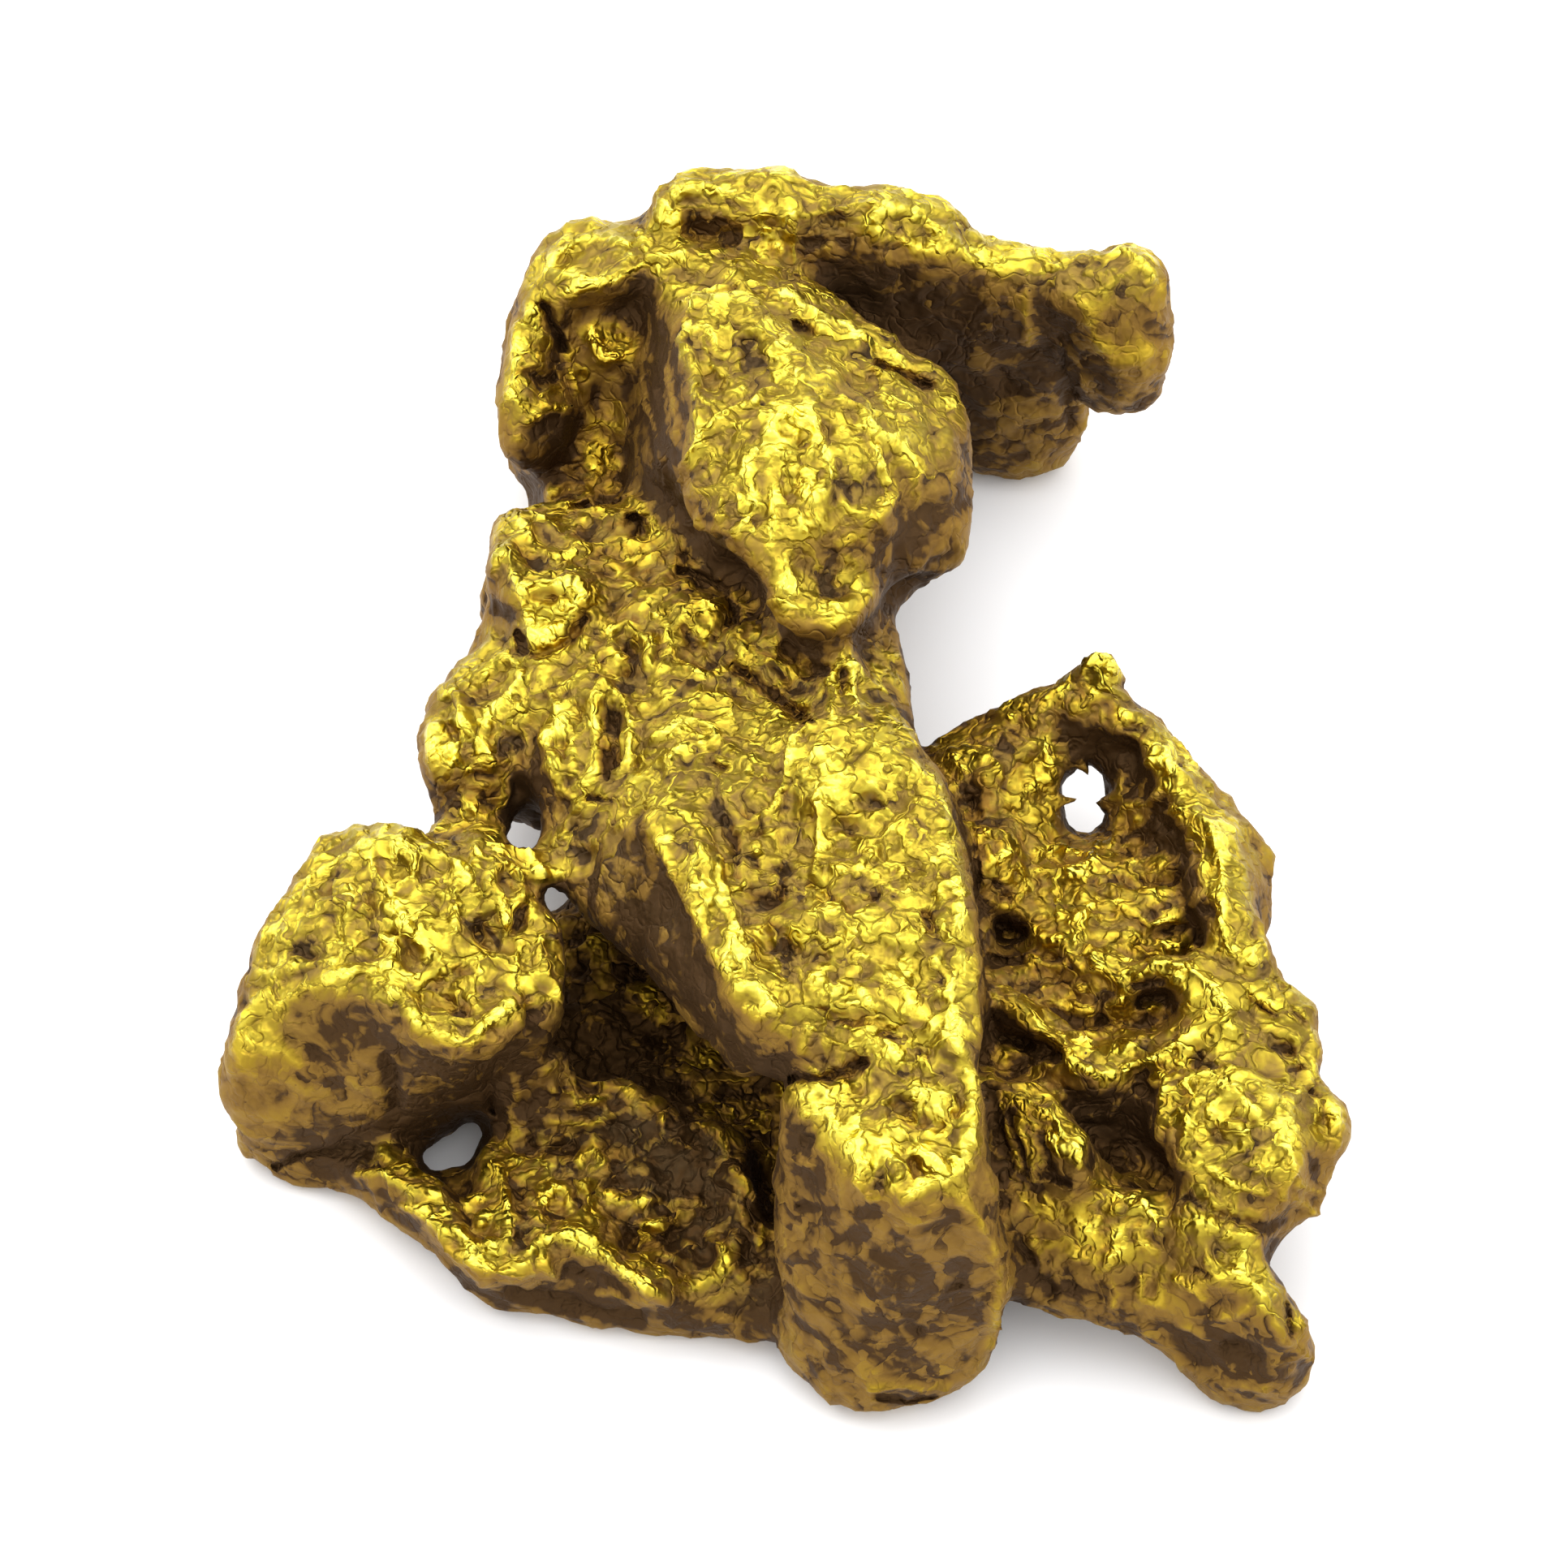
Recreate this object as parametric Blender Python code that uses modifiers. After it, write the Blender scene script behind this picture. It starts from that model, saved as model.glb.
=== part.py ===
"""A natural placer gold nugget, about 25 mm long, lying on its flattest side.

One solid piece. It is built up like clay: lumps and ridges are pressed together, hollows and slits are
pressed in, and the whole is worn smooth and cut flat where it rests on the table.
"""
import math

import bmesh
import bpy
from mathutils import Vector

MM = 0.001

# The nugget is laid out on an oblique drawing of it, seen from the front at this angle above the table.
# A ball is (across, up, height, radius) in mm: its place on that drawing, its height and its size.
DRAWING_TILT = math.radians(60.0)

# The drawing's zero, in mm from the middle of the nugget's footprint.
DRAWING_ZERO = (0.02, 2.14)

GRAIN = 0.25            # mm, the voxel size of the clay while lumps are pressed together
WEAR_PASSES = 2         # how often the surface is smoothed, as river wear does
WEAR_DEPTH = 0.10       # mm that the smoothing takes off a small lump, and each lump is made fuller by
DENTS = (("broad dents", 2.4, 0.30), ("small dents", 0.8, 0.14))    # their names, widths and depths in mm
REST_CUT = 0.15         # mm worn off the lowest lumps, where the nugget rests on the table
TRIANGLES = 9200        # the faceted solid's triangles before its rest flats are cut

TABLE_BLOCK = Vector((60.0, 60.0, 5.0))     # mm, the block that cuts the rest flats

GOLD_COLOUR = (0.62, 0.42, 0.07, 1.0)
GOLD_ROUGHNESS = 0.38


def on_table(across, up, height):
    """The point, in metres, drawn at (across, up) and standing at this height, all in mm."""
    away = (up - height * math.cos(DRAWING_TILT)) / math.sin(DRAWING_TILT)
    return Vector((across + DRAWING_ZERO[0], away + DRAWING_ZERO[1], height - REST_CUT)) * MM


def unit_ball():
    """The corners of a ball of radius 1."""
    bm = bmesh.new()
    bmesh.ops.create_icosphere(bm, subdivisions=2, radius=1.0)
    corners = [vert.co.copy() for vert in bm.verts]
    bm.free()
    return corners


BALL = unit_ball()


class Clay:
    """A heap of overlapping lumps, made one solid by shape()."""

    def __init__(self, fuller=0.0):
        self.bm = bmesh.new()
        self.fuller = fuller

    def lump(self, *balls):
        """The smooth skin stretched over some balls."""
        corners = []
        for across, up, height, radius in balls:
            centre = on_table(across, up, height)
            corners += [self.bm.verts.new(centre + corner * (radius + self.fuller) * MM) for corner in BALL]
        skin = bmesh.ops.convex_hull(self.bm, input=corners, use_existing_faces=False)
        inside = [part for part in skin["geom_interior"] if isinstance(part, bmesh.types.BMVert)]
        bmesh.ops.delete(self.bm, geom=inside, context="VERTS")

    def ridge(self, *balls):
        """A rounded ridge from ball to ball."""
        for start, end in zip(balls, balls[1:]):
            self.lump(start, end)

    def shape(self, name, grain):
        """One closed object of all the lumps."""
        bmesh.ops.recalc_face_normals(self.bm, faces=self.bm.faces[:])
        mesh = bpy.data.meshes.new(name)
        self.bm.to_mesh(mesh)
        self.bm.free()
        thing = bpy.data.objects.new(name, mesh)
        bpy.context.scene.collection.objects.link(thing)
        fuse(thing, grain)
        return thing


def apply_all(thing):
    """Bakes an object's modifiers into its mesh."""
    bpy.context.view_layer.update()
    graph = bpy.context.evaluated_depsgraph_get()
    baked = bpy.data.meshes.new_from_object(thing.evaluated_get(graph))
    thing.modifiers.clear()
    thing.data = baked


def fuse(thing, grain):
    """Makes overlapping bodies one, with an even mesh."""
    remesh = thing.modifiers.new("fuse", "REMESH")
    remesh.mode = "VOXEL"
    remesh.voxel_size = grain * MM
    apply_all(thing)


def wear_flat(thing):
    """Cuts away what is below the table, which leaves a small flat on each lump that touches it."""
    bm = bmesh.new()
    bmesh.ops.create_cube(bm, size=1.0)
    bmesh.ops.scale(bm, vec=TABLE_BLOCK * MM, verts=bm.verts)
    bmesh.ops.translate(bm, vec=Vector((0.0, 0.0, -TABLE_BLOCK.z / 2)) * MM, verts=bm.verts)
    mesh = bpy.data.meshes.new("table")
    bm.to_mesh(mesh)
    bm.free()
    table = bpy.data.objects.new("table", mesh)
    bpy.context.scene.collection.objects.link(table)
    subtract(thing, table)


def subtract(thing, cutter):
    """Cuts one object out of another and removes the cutter."""
    cut = thing.modifiers.new("cut", "BOOLEAN")
    cut.operation = "DIFFERENCE"
    cut.solver = "EXACT"
    cut.object = cutter
    apply_all(thing)
    bpy.data.objects.remove(cutter)


def dent(thing, name, width, depth):
    """Adds the uneven dents of a river-worn surface, with their width and depth in mm."""
    clouds = bpy.data.textures.new(name, "CLOUDS")
    clouds.noise_scale = width * MM
    clouds.noise_depth = 0
    dents = thing.modifiers.new(name, "DISPLACE")
    dents.texture = clouds
    dents.texture_coords = "LOCAL"
    dents.strength = depth * MM


def back_slab(clay):
    """The tall wall along the back, with its knob at the right end."""
    clay.lump((-2.0, 11.7, 6.7, 0.9), (-0.6, 11.7, 6.6, 0.9), (1.2, 11.4, 6.7, 0.9), (3.1, 11.2, 6.8, 0.85),
              (-1.5, 8.6, 2.0, 1.2), (3.3, 8.0, 1.2, 1.2), (2.5, 9.2, 1.5, 1.2))
    clay.ridge((-2.35, 11.95, 7.2, 0.55), (-1.9, 12.2, 7.2, 0.65), (-1.1, 12.2, 7.3, 0.6),
               (-0.2, 12.05, 7.3, 0.65), (0.7, 11.85, 7.2, 0.6), (1.4, 11.85, 7.2, 0.65),
               (2.1, 11.9, 7.2, 0.65), (3.0, 11.7, 7.1, 0.6), (3.35, 11.4, 7.0, 0.55),
               (3.5, 10.9, 6.8, 0.5))
    clay.lump((0.2, 11.75, 7.2, 0.5), (0.2, 11.25, 7.2, 0.4))
    clay.lump((2.0, 11.8, 7.3, 0.5), (2.0, 11.45, 7.2, 0.4))
    clay.lump((3.2, 10.9, 6.4, 0.8), (4.4, 10.4, 6.2, 0.6), (5.7, 10.3, 6.2, 0.6), (4.5, 7.25, 0.9, 0.8),
              (5.5, 7.25, 0.9, 0.75), (3.4, 7.8, 0.9, 0.8))
    clay.lump((6.3, 10.3, 6.4, 0.75), (6.7, 10.4, 6.4, 0.75), (7.15, 10.3, 6.3, 0.85),
              (7.35, 9.2, 5.2, 0.8), (7.15, 8.6, 4.2, 0.85), (6.7, 8.5, 4.0, 0.75), (6.3, 8.9, 4.6, 0.55),
              (6.3, 9.7, 6.0, 0.5))
    clay.lump((5.6, 9.0, 3.6, 0.8), (6.0, 7.5, 1.6, 0.45), (5.2, 8.2, 1.2, 0.7))


def behind(clay):
    """The lumps of the back, the flanks and the underside."""
    clay.lump((-1.9, 10.6, 4.6, 0.9), (-0.9, 9.6, 2.6, 1.0), (0.2, 9.0, 1.6, 0.8))
    clay.lump((1.8, 11.0, 4.8, 0.9), (2.6, 10.4, 4.0, 0.9))
    clay.lump((2.2, 8.9, 1.4, 0.9), (3.4, 9.0, 1.8, 0.8))
    clay.ridge((4.0, 10.6, 5.0, 0.6), (4.9, 9.8, 3.8, 0.7), (5.4, 8.6, 1.8, 0.7))
    clay.lump((6.6, 9.9, 4.6, 0.9), (7.0, 10.2, 5.2, 0.8))
    clay.lump((-3.6, 10.2, 3.4, 1.0), (-4.4, 9.2, 2.0, 0.9), (-3.2, 9.4, 1.6, 0.8))
    clay.lump((-5.0, 8.2, 2.6, 0.8), (-5.2, 7.0, 2.2, 0.6))
    clay.lump((-5.6, 3.9, 3.0, 0.7), (-5.2, 2.9, 2.4, 0.8), (-4.6, 1.8, 1.4, 0.8))
    clay.lump((-6.4, 0.9, 3.2, 0.7), (-6.0, 0.4, 2.6, 0.7))
    clay.lump((-2.6, 3.4, 1.6, 0.9), (-1.4, 2.0, 1.2, 0.8), (-2.4, 0.8, 1.4, 0.9))
    clay.lump((0.8, 3.2, 2.4, 0.9), (1.2, 1.2, 2.0, 0.9), (0.0, 0.4, 1.6, 0.9))
    clay.lump((2.6, -0.6, 5.2, 0.9), (3.0, -1.8, 5.0, 0.8))
    clay.lump((3.2, -3.2, 5.6, 0.7), (3.4, -4.6, 5.2, 0.6))
    clay.lump((2.8, -2.6, 2.6, 1.0), (1.6, -4.2, 1.8, 1.0), (0.6, -2.8, 1.6, 0.9))
    clay.lump((2.6, -6.8, 1.6, 1.0), (1.8, -8.0, 1.2, 0.9))
    clay.lump((3.6, -5.4, 1.8, 0.9), (5.4, -5.8, 1.6, 0.9), (5.0, -7.4, 1.4, 0.8))
    clay.lump((7.6, -3.6, 2.4, 0.8), (8.8, -4.8, 2.2, 0.8), (7.4, -5.2, 2.0, 0.8))
    clay.lump((8.4, -1.6, 3.0, 0.7), (7.4, -2.4, 2.4, 0.7))
    clay.lump((9.6, -6.2, 2.6, 0.8), (9.6, -7.4, 2.4, 0.8))
    clay.lump((-8.6, -3.0, 2.4, 0.9), (-7.4, -3.6, 1.6, 0.9), (-8.6, -4.8, 1.6, 0.9))
    clay.lump((-9.7, -4.3, 3.0, 0.8), (-9.3, -3.5, 3.2, 0.8))


def head(clay):
    """The high crown in front of the slab, with its layered skirt on the right."""
    clay.lump((-1.5, 9.5, 8.5, 0.45), (-1.7, 8.7, 8.5, 0.4), (-1.45, 7.6, 8.5, 0.4), (-0.6, 9.4, 8.3, 0.4),
              (0.4, 8.4, 8.5, 0.4), (-0.4, 7.6, 8.4, 0.4), (-1.0, 8.0, 5.0, 1.0), (0.0, 8.5, 5.0, 1.0))
    clay.lump((-1.5, 7.4, 8.6, 0.4), (-1.6, 6.3, 8.6, 0.4), (-1.75, 5.85, 8.2, 0.4), (-0.8, 5.4, 8.4, 0.4),
              (-0.2, 5.0, 8.6, 0.4), (1.6, 7.3, 8.6, 0.4), (0.4, 8.3, 8.8, 0.4), (-0.3, 7.6, 9.0, 0.4),
              (1.9, 5.6, 8.2, 0.5), (-1.2, 7.0, 5.0, 1.0), (1.2, 7.0, 5.0, 1.2), (0.5, 5.5, 4.5, 1.4))
    clay.ridge((-1.0, 9.95, 8.6, 0.3), (-1.6, 9.85, 8.7, 0.3), (-1.95, 9.1, 8.8, 0.3),
               (-1.75, 8.2, 8.8, 0.3), (-1.65, 7.4, 8.9, 0.3), (-1.85, 6.5, 8.8, 0.3))
    clay.ridge((-1.0, 9.95, 8.6, 0.3), (-0.4, 9.45, 8.8, 0.3), (0.4, 8.65, 9.0, 0.3), (1.0, 8.2, 9.0, 0.3),
               (1.6, 7.5, 8.9, 0.35), (2.0, 6.9, 8.6, 0.35))
    clay.lump((-1.8, 9.6, 8.0, 0.4), (-1.8, 6.6, 8.0, 0.4), (-2.3, 6.8, 4.5, 0.8), (-2.4, 9.6, 5.0, 0.7),
              (-1.0, 8.0, 4.0, 1.0))
    clay.ridge((-1.5, 5.5, 8.2, 0.35), (-0.9, 5.35, 8.5, 0.35), (-0.5, 4.9, 8.6, 0.35),
               (-0.1, 4.3, 8.4, 0.35), (0.05, 3.5, 8.1, 0.35), (0.6, 3.25, 7.9, 0.35),
               (1.3, 3.4, 7.8, 0.35), (1.6, 4.0, 7.8, 0.4))
    clay.lump((0.1, 5.2, 8.2, 0.5), (1.9, 5.4, 7.9, 0.5), (1.4, 3.7, 7.5, 0.45), (0.4, 3.6, 7.5, 0.45),
              (0.8, 5.0, 5.5, 1.0))
    clay.lump((2.75, 6.6, 7.4, 1.0), (2.4, 7.0, 7.6, 0.9))
    clay.ridge((2.1, 4.6, 7.0, 0.45), (2.7, 5.1, 6.9, 0.45), (3.3, 5.6, 6.8, 0.4))
    clay.lump((-0.8, 10.2, 7.6, 0.35), (0.6, 9.5, 7.6, 0.35), (1.7, 8.6, 7.6, 0.35), (2.4, 8.0, 7.6, 0.35),
              (0.0, 7.0, 7.0, 0.5), (0.5, 8.5, 5.0, 0.8))
    clay.lump((-1.8, 10.6, 6.9, 0.35), (0.0, 10.1, 6.9, 0.35), (1.1, 9.65, 6.8, 0.35),
              (2.0, 8.95, 6.8, 0.35), (3.1, 8.3, 6.7, 0.35), (3.4, 7.5, 6.6, 0.35), (3.55, 6.5, 6.4, 0.35),
              (1.0, 7.5, 5.0, 0.8))
    clay.ridge((-2.0, 10.55, 7.3, 0.3), (-0.9, 10.4, 7.3, 0.3), (0.0, 10.1, 7.2, 0.3), (1.0, 9.7, 7.1, 0.3),
               (2.0, 9.0, 7.0, 0.3), (2.9, 8.5, 6.9, 0.3), (3.3, 7.9, 6.8, 0.3), (3.55, 7.2, 6.7, 0.3),
               (3.6, 6.4, 6.6, 0.35), (3.6, 5.3, 6.4, 0.35), (3.3, 4.8, 6.2, 0.35), (2.6, 4.75, 6.2, 0.35))
    clay.lump((3.5, 6.5, 6.2, 0.4), (3.5, 5.2, 6.0, 0.4), (2.6, 4.7, 5.8, 0.45), (1.8, 4.0, 5.4, 0.5),
              (1.0, 6.0, 4.6, 1.0), (1.4, 7.4, 4.0, 1.5))
    clay.lump((1.5, 7.0, 4.0, 1.8), (1.0, 5.5, 3.0, 1.5), (-1.0, 6.5, 3.0, 1.5), (0.5, 9.0, 3.0, 1.5))


def hood(clay):
    """The hollow fold at the back left: a rim over a steep hollow."""
    clay.lump((-4.4, 10.2, 5.6, 0.5), (-3.0, 10.9, 6.0, 0.5), (-4.8, 8.6, 3.4, 0.6), (-2.6, 9.4, 3.8, 0.6),
              (-4.8, 6.8, 1.6, 0.8), (-2.8, 6.4, 2.0, 0.8), (-3.9, 11.0, 5.0, 0.7), (-3.5, 9.3, 2.0, 1.2))
    clay.ridge((-2.2, 10.95, 7.0, 0.3), (-3.0, 10.8, 6.9, 0.3), (-3.5, 10.5, 6.8, 0.3),
               (-4.2, 10.3, 6.6, 0.35), (-4.75, 10.1, 6.4, 0.35))
    clay.lump((-2.8, 11.05, 6.5, 0.35), (-3.4, 11.3, 6.3, 0.4), (-4.0, 11.35, 6.2, 0.5),
              (-4.75, 10.95, 6.0, 0.5), (-5.0, 10.2, 5.9, 0.45), (-4.3, 10.4, 6.2, 0.4),
              (-3.5, 10.6, 6.4, 0.35), (-4.0, 10.8, 4.8, 0.6))
    clay.ridge((-5.0, 10.2, 6.1, 0.4), (-5.2, 9.5, 5.9, 0.4), (-5.35, 8.8, 5.7, 0.4),
               (-5.45, 8.2, 5.4, 0.45), (-5.55, 7.4, 5.0, 0.5), (-5.5, 7.05, 4.8, 0.45))
    clay.lump((-5.3, 8.6, 5.0, 0.45), (-5.1, 9.8, 5.2, 0.45), (-5.0, 9.6, 3.0, 0.6), (-5.2, 7.4, 3.0, 0.75),
              (-5.35, 7.25, 4.6, 0.5), (-4.6, 6.3, 2.8, 0.6))
    clay.ridge((-5.4, 7.7, 5.3, 0.4), (-4.9, 7.8, 5.0, 0.35), (-4.4, 8.0, 4.4, 0.3))
    clay.lump((-3.75, 8.95, 5.4, 0.3), (-3.3, 9.3, 5.2, 0.3), (-4.0, 9.9, 5.4, 0.35), (-3.5, 8.2, 3.8, 0.3))
    clay.ridge((-4.6, 9.6, 5.4, 0.25), (-4.55, 8.8, 5.0, 0.25), (-4.2, 8.2, 4.4, 0.25))
    clay.lump((-4.2, 9.4, 4.5, 0.45), (-3.2, 9.7, 5.0, 0.4), (-4.4, 7.6, 3.6, 0.45), (-3.2, 7.4, 4.0, 0.4),
              (-3.7, 6.3, 3.2, 0.4), (-3.4, 8.6, 3.0, 0.8))
    clay.lump((-2.9, 8.8, 5.4, 0.3), (-2.6, 7.2, 4.8, 0.3), (-2.2, 9.4, 6.6, 0.3), (-2.1, 7.2, 6.2, 0.3))
    clay.lump((-4.2, 6.2, 3.3, 0.35), (-3.9, 6.3, 3.4, 0.35))
    clay.lump((-4.5, 5.5, 2.0, 0.9), (-2.7, 5.2, 2.2, 0.9), (-4.4, 6.8, 1.4, 0.8), (-2.8, 6.6, 1.6, 0.8))


def middle(clay):
    """The lobes that join the head and hood to the column."""
    clay.lump((-4.6, 1.2, 3.4, 2.2), (-0.2, 2.0, 4.0, 2.0), (-3.6, 4.0, 3.2, 2.0), (-0.4, 4.4, 4.2, 2.0))
    clay.lump((-4.9, 5.05, 4.0, 0.75), (-3.0, 5.1, 4.4, 0.7), (-3.4, 4.0, 4.8, 0.8), (-2.2, 4.4, 5.0, 0.7))
    clay.lump((-5.55, 5.1, 4.6, 0.55), (-5.55, 4.0, 4.8, 0.55), (-4.4, 5.0, 4.8, 0.55),
              (-4.4, 4.0, 5.2, 0.4), (-5.0, 3.3, 5.1, 0.35), (-5.0, 4.6, 3.0, 1.0))
    clay.ridge((-5.75, 5.1, 5.1, 0.3), (-5.75, 4.4, 5.4, 0.3), (-5.3, 4.0, 5.7, 0.3), (-4.3, 4.1, 5.8, 0.3),
               (-4.1, 3.8, 5.8, 0.3), (-5.0, 3.15, 5.5, 0.3), (-5.45, 3.6, 5.4, 0.3))
    clay.lump((-5.9, 2.9, 4.2, 0.5), (-6.5, 1.8, 4.4, 0.6), (-5.0, 2.4, 4.6, 0.5), (-5.6, 1.2, 4.6, 0.5),
              (-5.4, 2.4, 3.0, 0.9))
    clay.lump((-6.6, 1.4, 4.3, 0.8), (-6.55, 0.35, 4.3, 0.85), (-6.0, 1.6, 4.0, 0.7), (-5.8, 0.4, 3.0, 0.8))
    clay.lump((-4.55, 1.6, 5.0, 0.5), (-4.6, 0.15, 5.0, 0.5), (-4.1, 1.8, 5.3, 0.45),
              (-3.9, 0.1, 5.3, 0.45), (-4.2, 0.8, 3.0, 1.2))
    clay.ridge((-3.9, 2.0, 5.7, 0.3), (-3.4, 1.8, 5.8, 0.3), (-3.15, 1.2, 5.9, 0.3), (-3.15, 0.4, 5.8, 0.3),
               (-3.4, -0.1, 5.6, 0.3))
    clay.lump((-2.9, 3.3, 5.7, 0.5), (-2.2, 2.8, 5.8, 0.45), (-1.5, 3.5, 5.9, 0.45), (-2.4, 3.9, 5.5, 0.5),
              (-2.0, 3.0, 4.5, 1.0))
    clay.lump((-3.0, 2.4, 5.4, 0.5), (-1.6, 2.0, 5.8, 0.45), (-2.6, 0.8, 5.8, 0.5), (-0.9, 0.9, 6.2, 0.5),
              (-2.0, 0.0, 6.0, 0.5), (-2.0, 1.5, 4.0, 1.0))
    clay.lump((-1.1, 2.75, 6.2, 0.3), (0.8, 2.7, 6.5, 0.35), (-0.6, 2.25, 6.5, 0.25),
              (0.5, 1.55, 6.6, 0.25), (0.9, 1.6, 6.5, 0.3), (0.0, 3.0, 4.8, 0.8))
    clay.ridge((1.0, 1.6, 6.9, 0.25), (1.05, 2.3, 7.0, 0.25), (1.35, 2.4, 6.9, 0.25), (1.6, 1.6, 6.9, 0.3))
    clay.lump((1.4, 3.6, 5.8, 0.55), (1.8, 3.2, 5.6, 0.35), (1.55, 2.0, 6.2, 0.4), (2.2, 1.0, 6.0, 0.48),
              (0.85, 2.5, 4.0, 1.1))
    clay.lump((-1.0, 0.4, 6.4, 0.4), (-0.4, 0.3, 6.5, 0.4), (-0.8, -0.3, 6.4, 0.4))


def column(clay):
    """The high ridge running to the front, with its left slope and its foot."""
    clay.lump((-2.1, -0.9, 6.7, 0.45), (-1.0, -3.0, 6.9, 0.45), (-0.5, -4.8, 6.7, 0.45),
              (3.1, -1.2, 7.1, 0.5), (3.3, -3.2, 7.2, 0.5), (3.4, -5.2, 7.1, 0.5), (2.3, 0.6, 6.7, 0.5),
              (-2.0, 0.6, 6.0, 0.6), (0.5, -2.0, 4.0, 2.0), (1.8, -5.0, 4.0, 2.0), (0.5, 0.5, 4.0, 2.0))
    clay.lump((-4.55, -0.9, 4.6, 0.4), (-4.3, -1.9, 4.6, 0.35), (-2.9, -3.2, 4.8, 0.4),
              (-1.4, -4.75, 5.0, 0.4), (-0.6, -5.5, 5.2, 0.4), (-2.1, -0.9, 6.9, 0.4),
              (-1.0, -3.0, 7.1, 0.4), (-0.8, -4.5, 7.0, 0.4), (-3.8, 0.0, 4.0, 0.8), (-2.5, 0.0, 4.0, 1.0))
    clay.ridge((1.8, 1.4, 6.9, 0.35), (2.5, 0.4, 7.2, 0.45), (2.95, -0.7, 7.5, 0.45),
               (3.25, -1.8, 7.6, 0.45), (3.45, -3.2, 7.7, 0.45), (3.55, -4.6, 7.6, 0.45),
               (3.55, -5.8, 7.4, 0.45), (3.65, -7.2, 7.1, 0.45))
    clay.ridge((-2.45, -0.7, 6.9, 0.4), (-1.9, -1.6, 7.2, 0.4), (-1.3, -2.8, 7.5, 0.4),
               (-0.95, -3.8, 7.5, 0.4), (-0.4, -4.7, 7.4, 0.4))
    clay.lump((0.4, 0.9, 7.2, 0.4), (1.8, 0.9, 7.1, 0.4), (0.9, -0.3, 7.6, 0.45), (1.6, 0.0, 7.5, 0.4),
              (0.2, 0.2, 7.1, 0.35))
    clay.ridge((-2.6, -0.2, 6.3, 0.35), (-1.4, -0.4, 6.8, 0.35), (-0.4, -0.2, 7.0, 0.35))
    clay.ridge((-0.3, -2.7, 7.4, 0.25), (0.3, -2.9, 7.7, 0.25), (0.9, -3.1, 7.7, 0.25))
    clay.lump((0.9, -2.9, 7.6, 0.4), (2.3, -2.6, 7.7, 0.4), (2.6, -3.4, 7.7, 0.4), (1.2, -3.7, 7.6, 0.4))
    clay.lump((-0.5, -4.4, 7.3, 0.4), (1.0, -4.1, 7.5, 0.4), (3.0, -4.3, 7.5, 0.4), (1.0, -4.9, 7.4, 0.35),
              (-0.2, -5.1, 7.0, 0.4), (2.6, -5.3, 7.2, 0.4), (1.5, -4.5, 5.5, 1.0))
    clay.lump((-0.35, -5.5, 6.2, 0.3), (1.2, -5.4, 6.6, 0.3), (2.6, -5.9, 6.7, 0.4), (1.0, -5.0, 5.5, 0.8))
    clay.lump((0.35, -6.45, 6.6, 0.4), (1.6, -6.2, 6.8, 0.4), (3.4, -6.4, 6.9, 0.55),
              (3.6, -7.8, 6.7, 0.45), (1.6, -7.6, 6.7, 0.4), (2.7, -8.4, 6.7, 0.4), (2.4, -7.4, 3.0, 1.5))
    clay.ridge((3.4, -7.9, 6.9, 0.4), (3.9, -8.7, 6.2, 0.35), (4.2, -9.6, 4.8, 0.4), (4.2, -10.6, 3.4, 0.4))
    clay.lump((0.35, -6.9, 6.1, 0.45), (0.6, -8.0, 5.3, 0.5), (2.6, -8.5, 6.4, 0.5), (3.6, -8.0, 6.3, 0.55),
              (0.7, -9.6, 3.6, 0.7), (3.95, -9.9, 3.6, 0.75), (0.75, -11.4, 1.2, 0.75),
              (1.5, -11.9, 0.9, 0.8), (2.4, -11.9, 0.9, 0.85), (3.3, -11.5, 1.2, 0.88),
              (1.5, -8.5, 1.5, 1.0))


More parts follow.
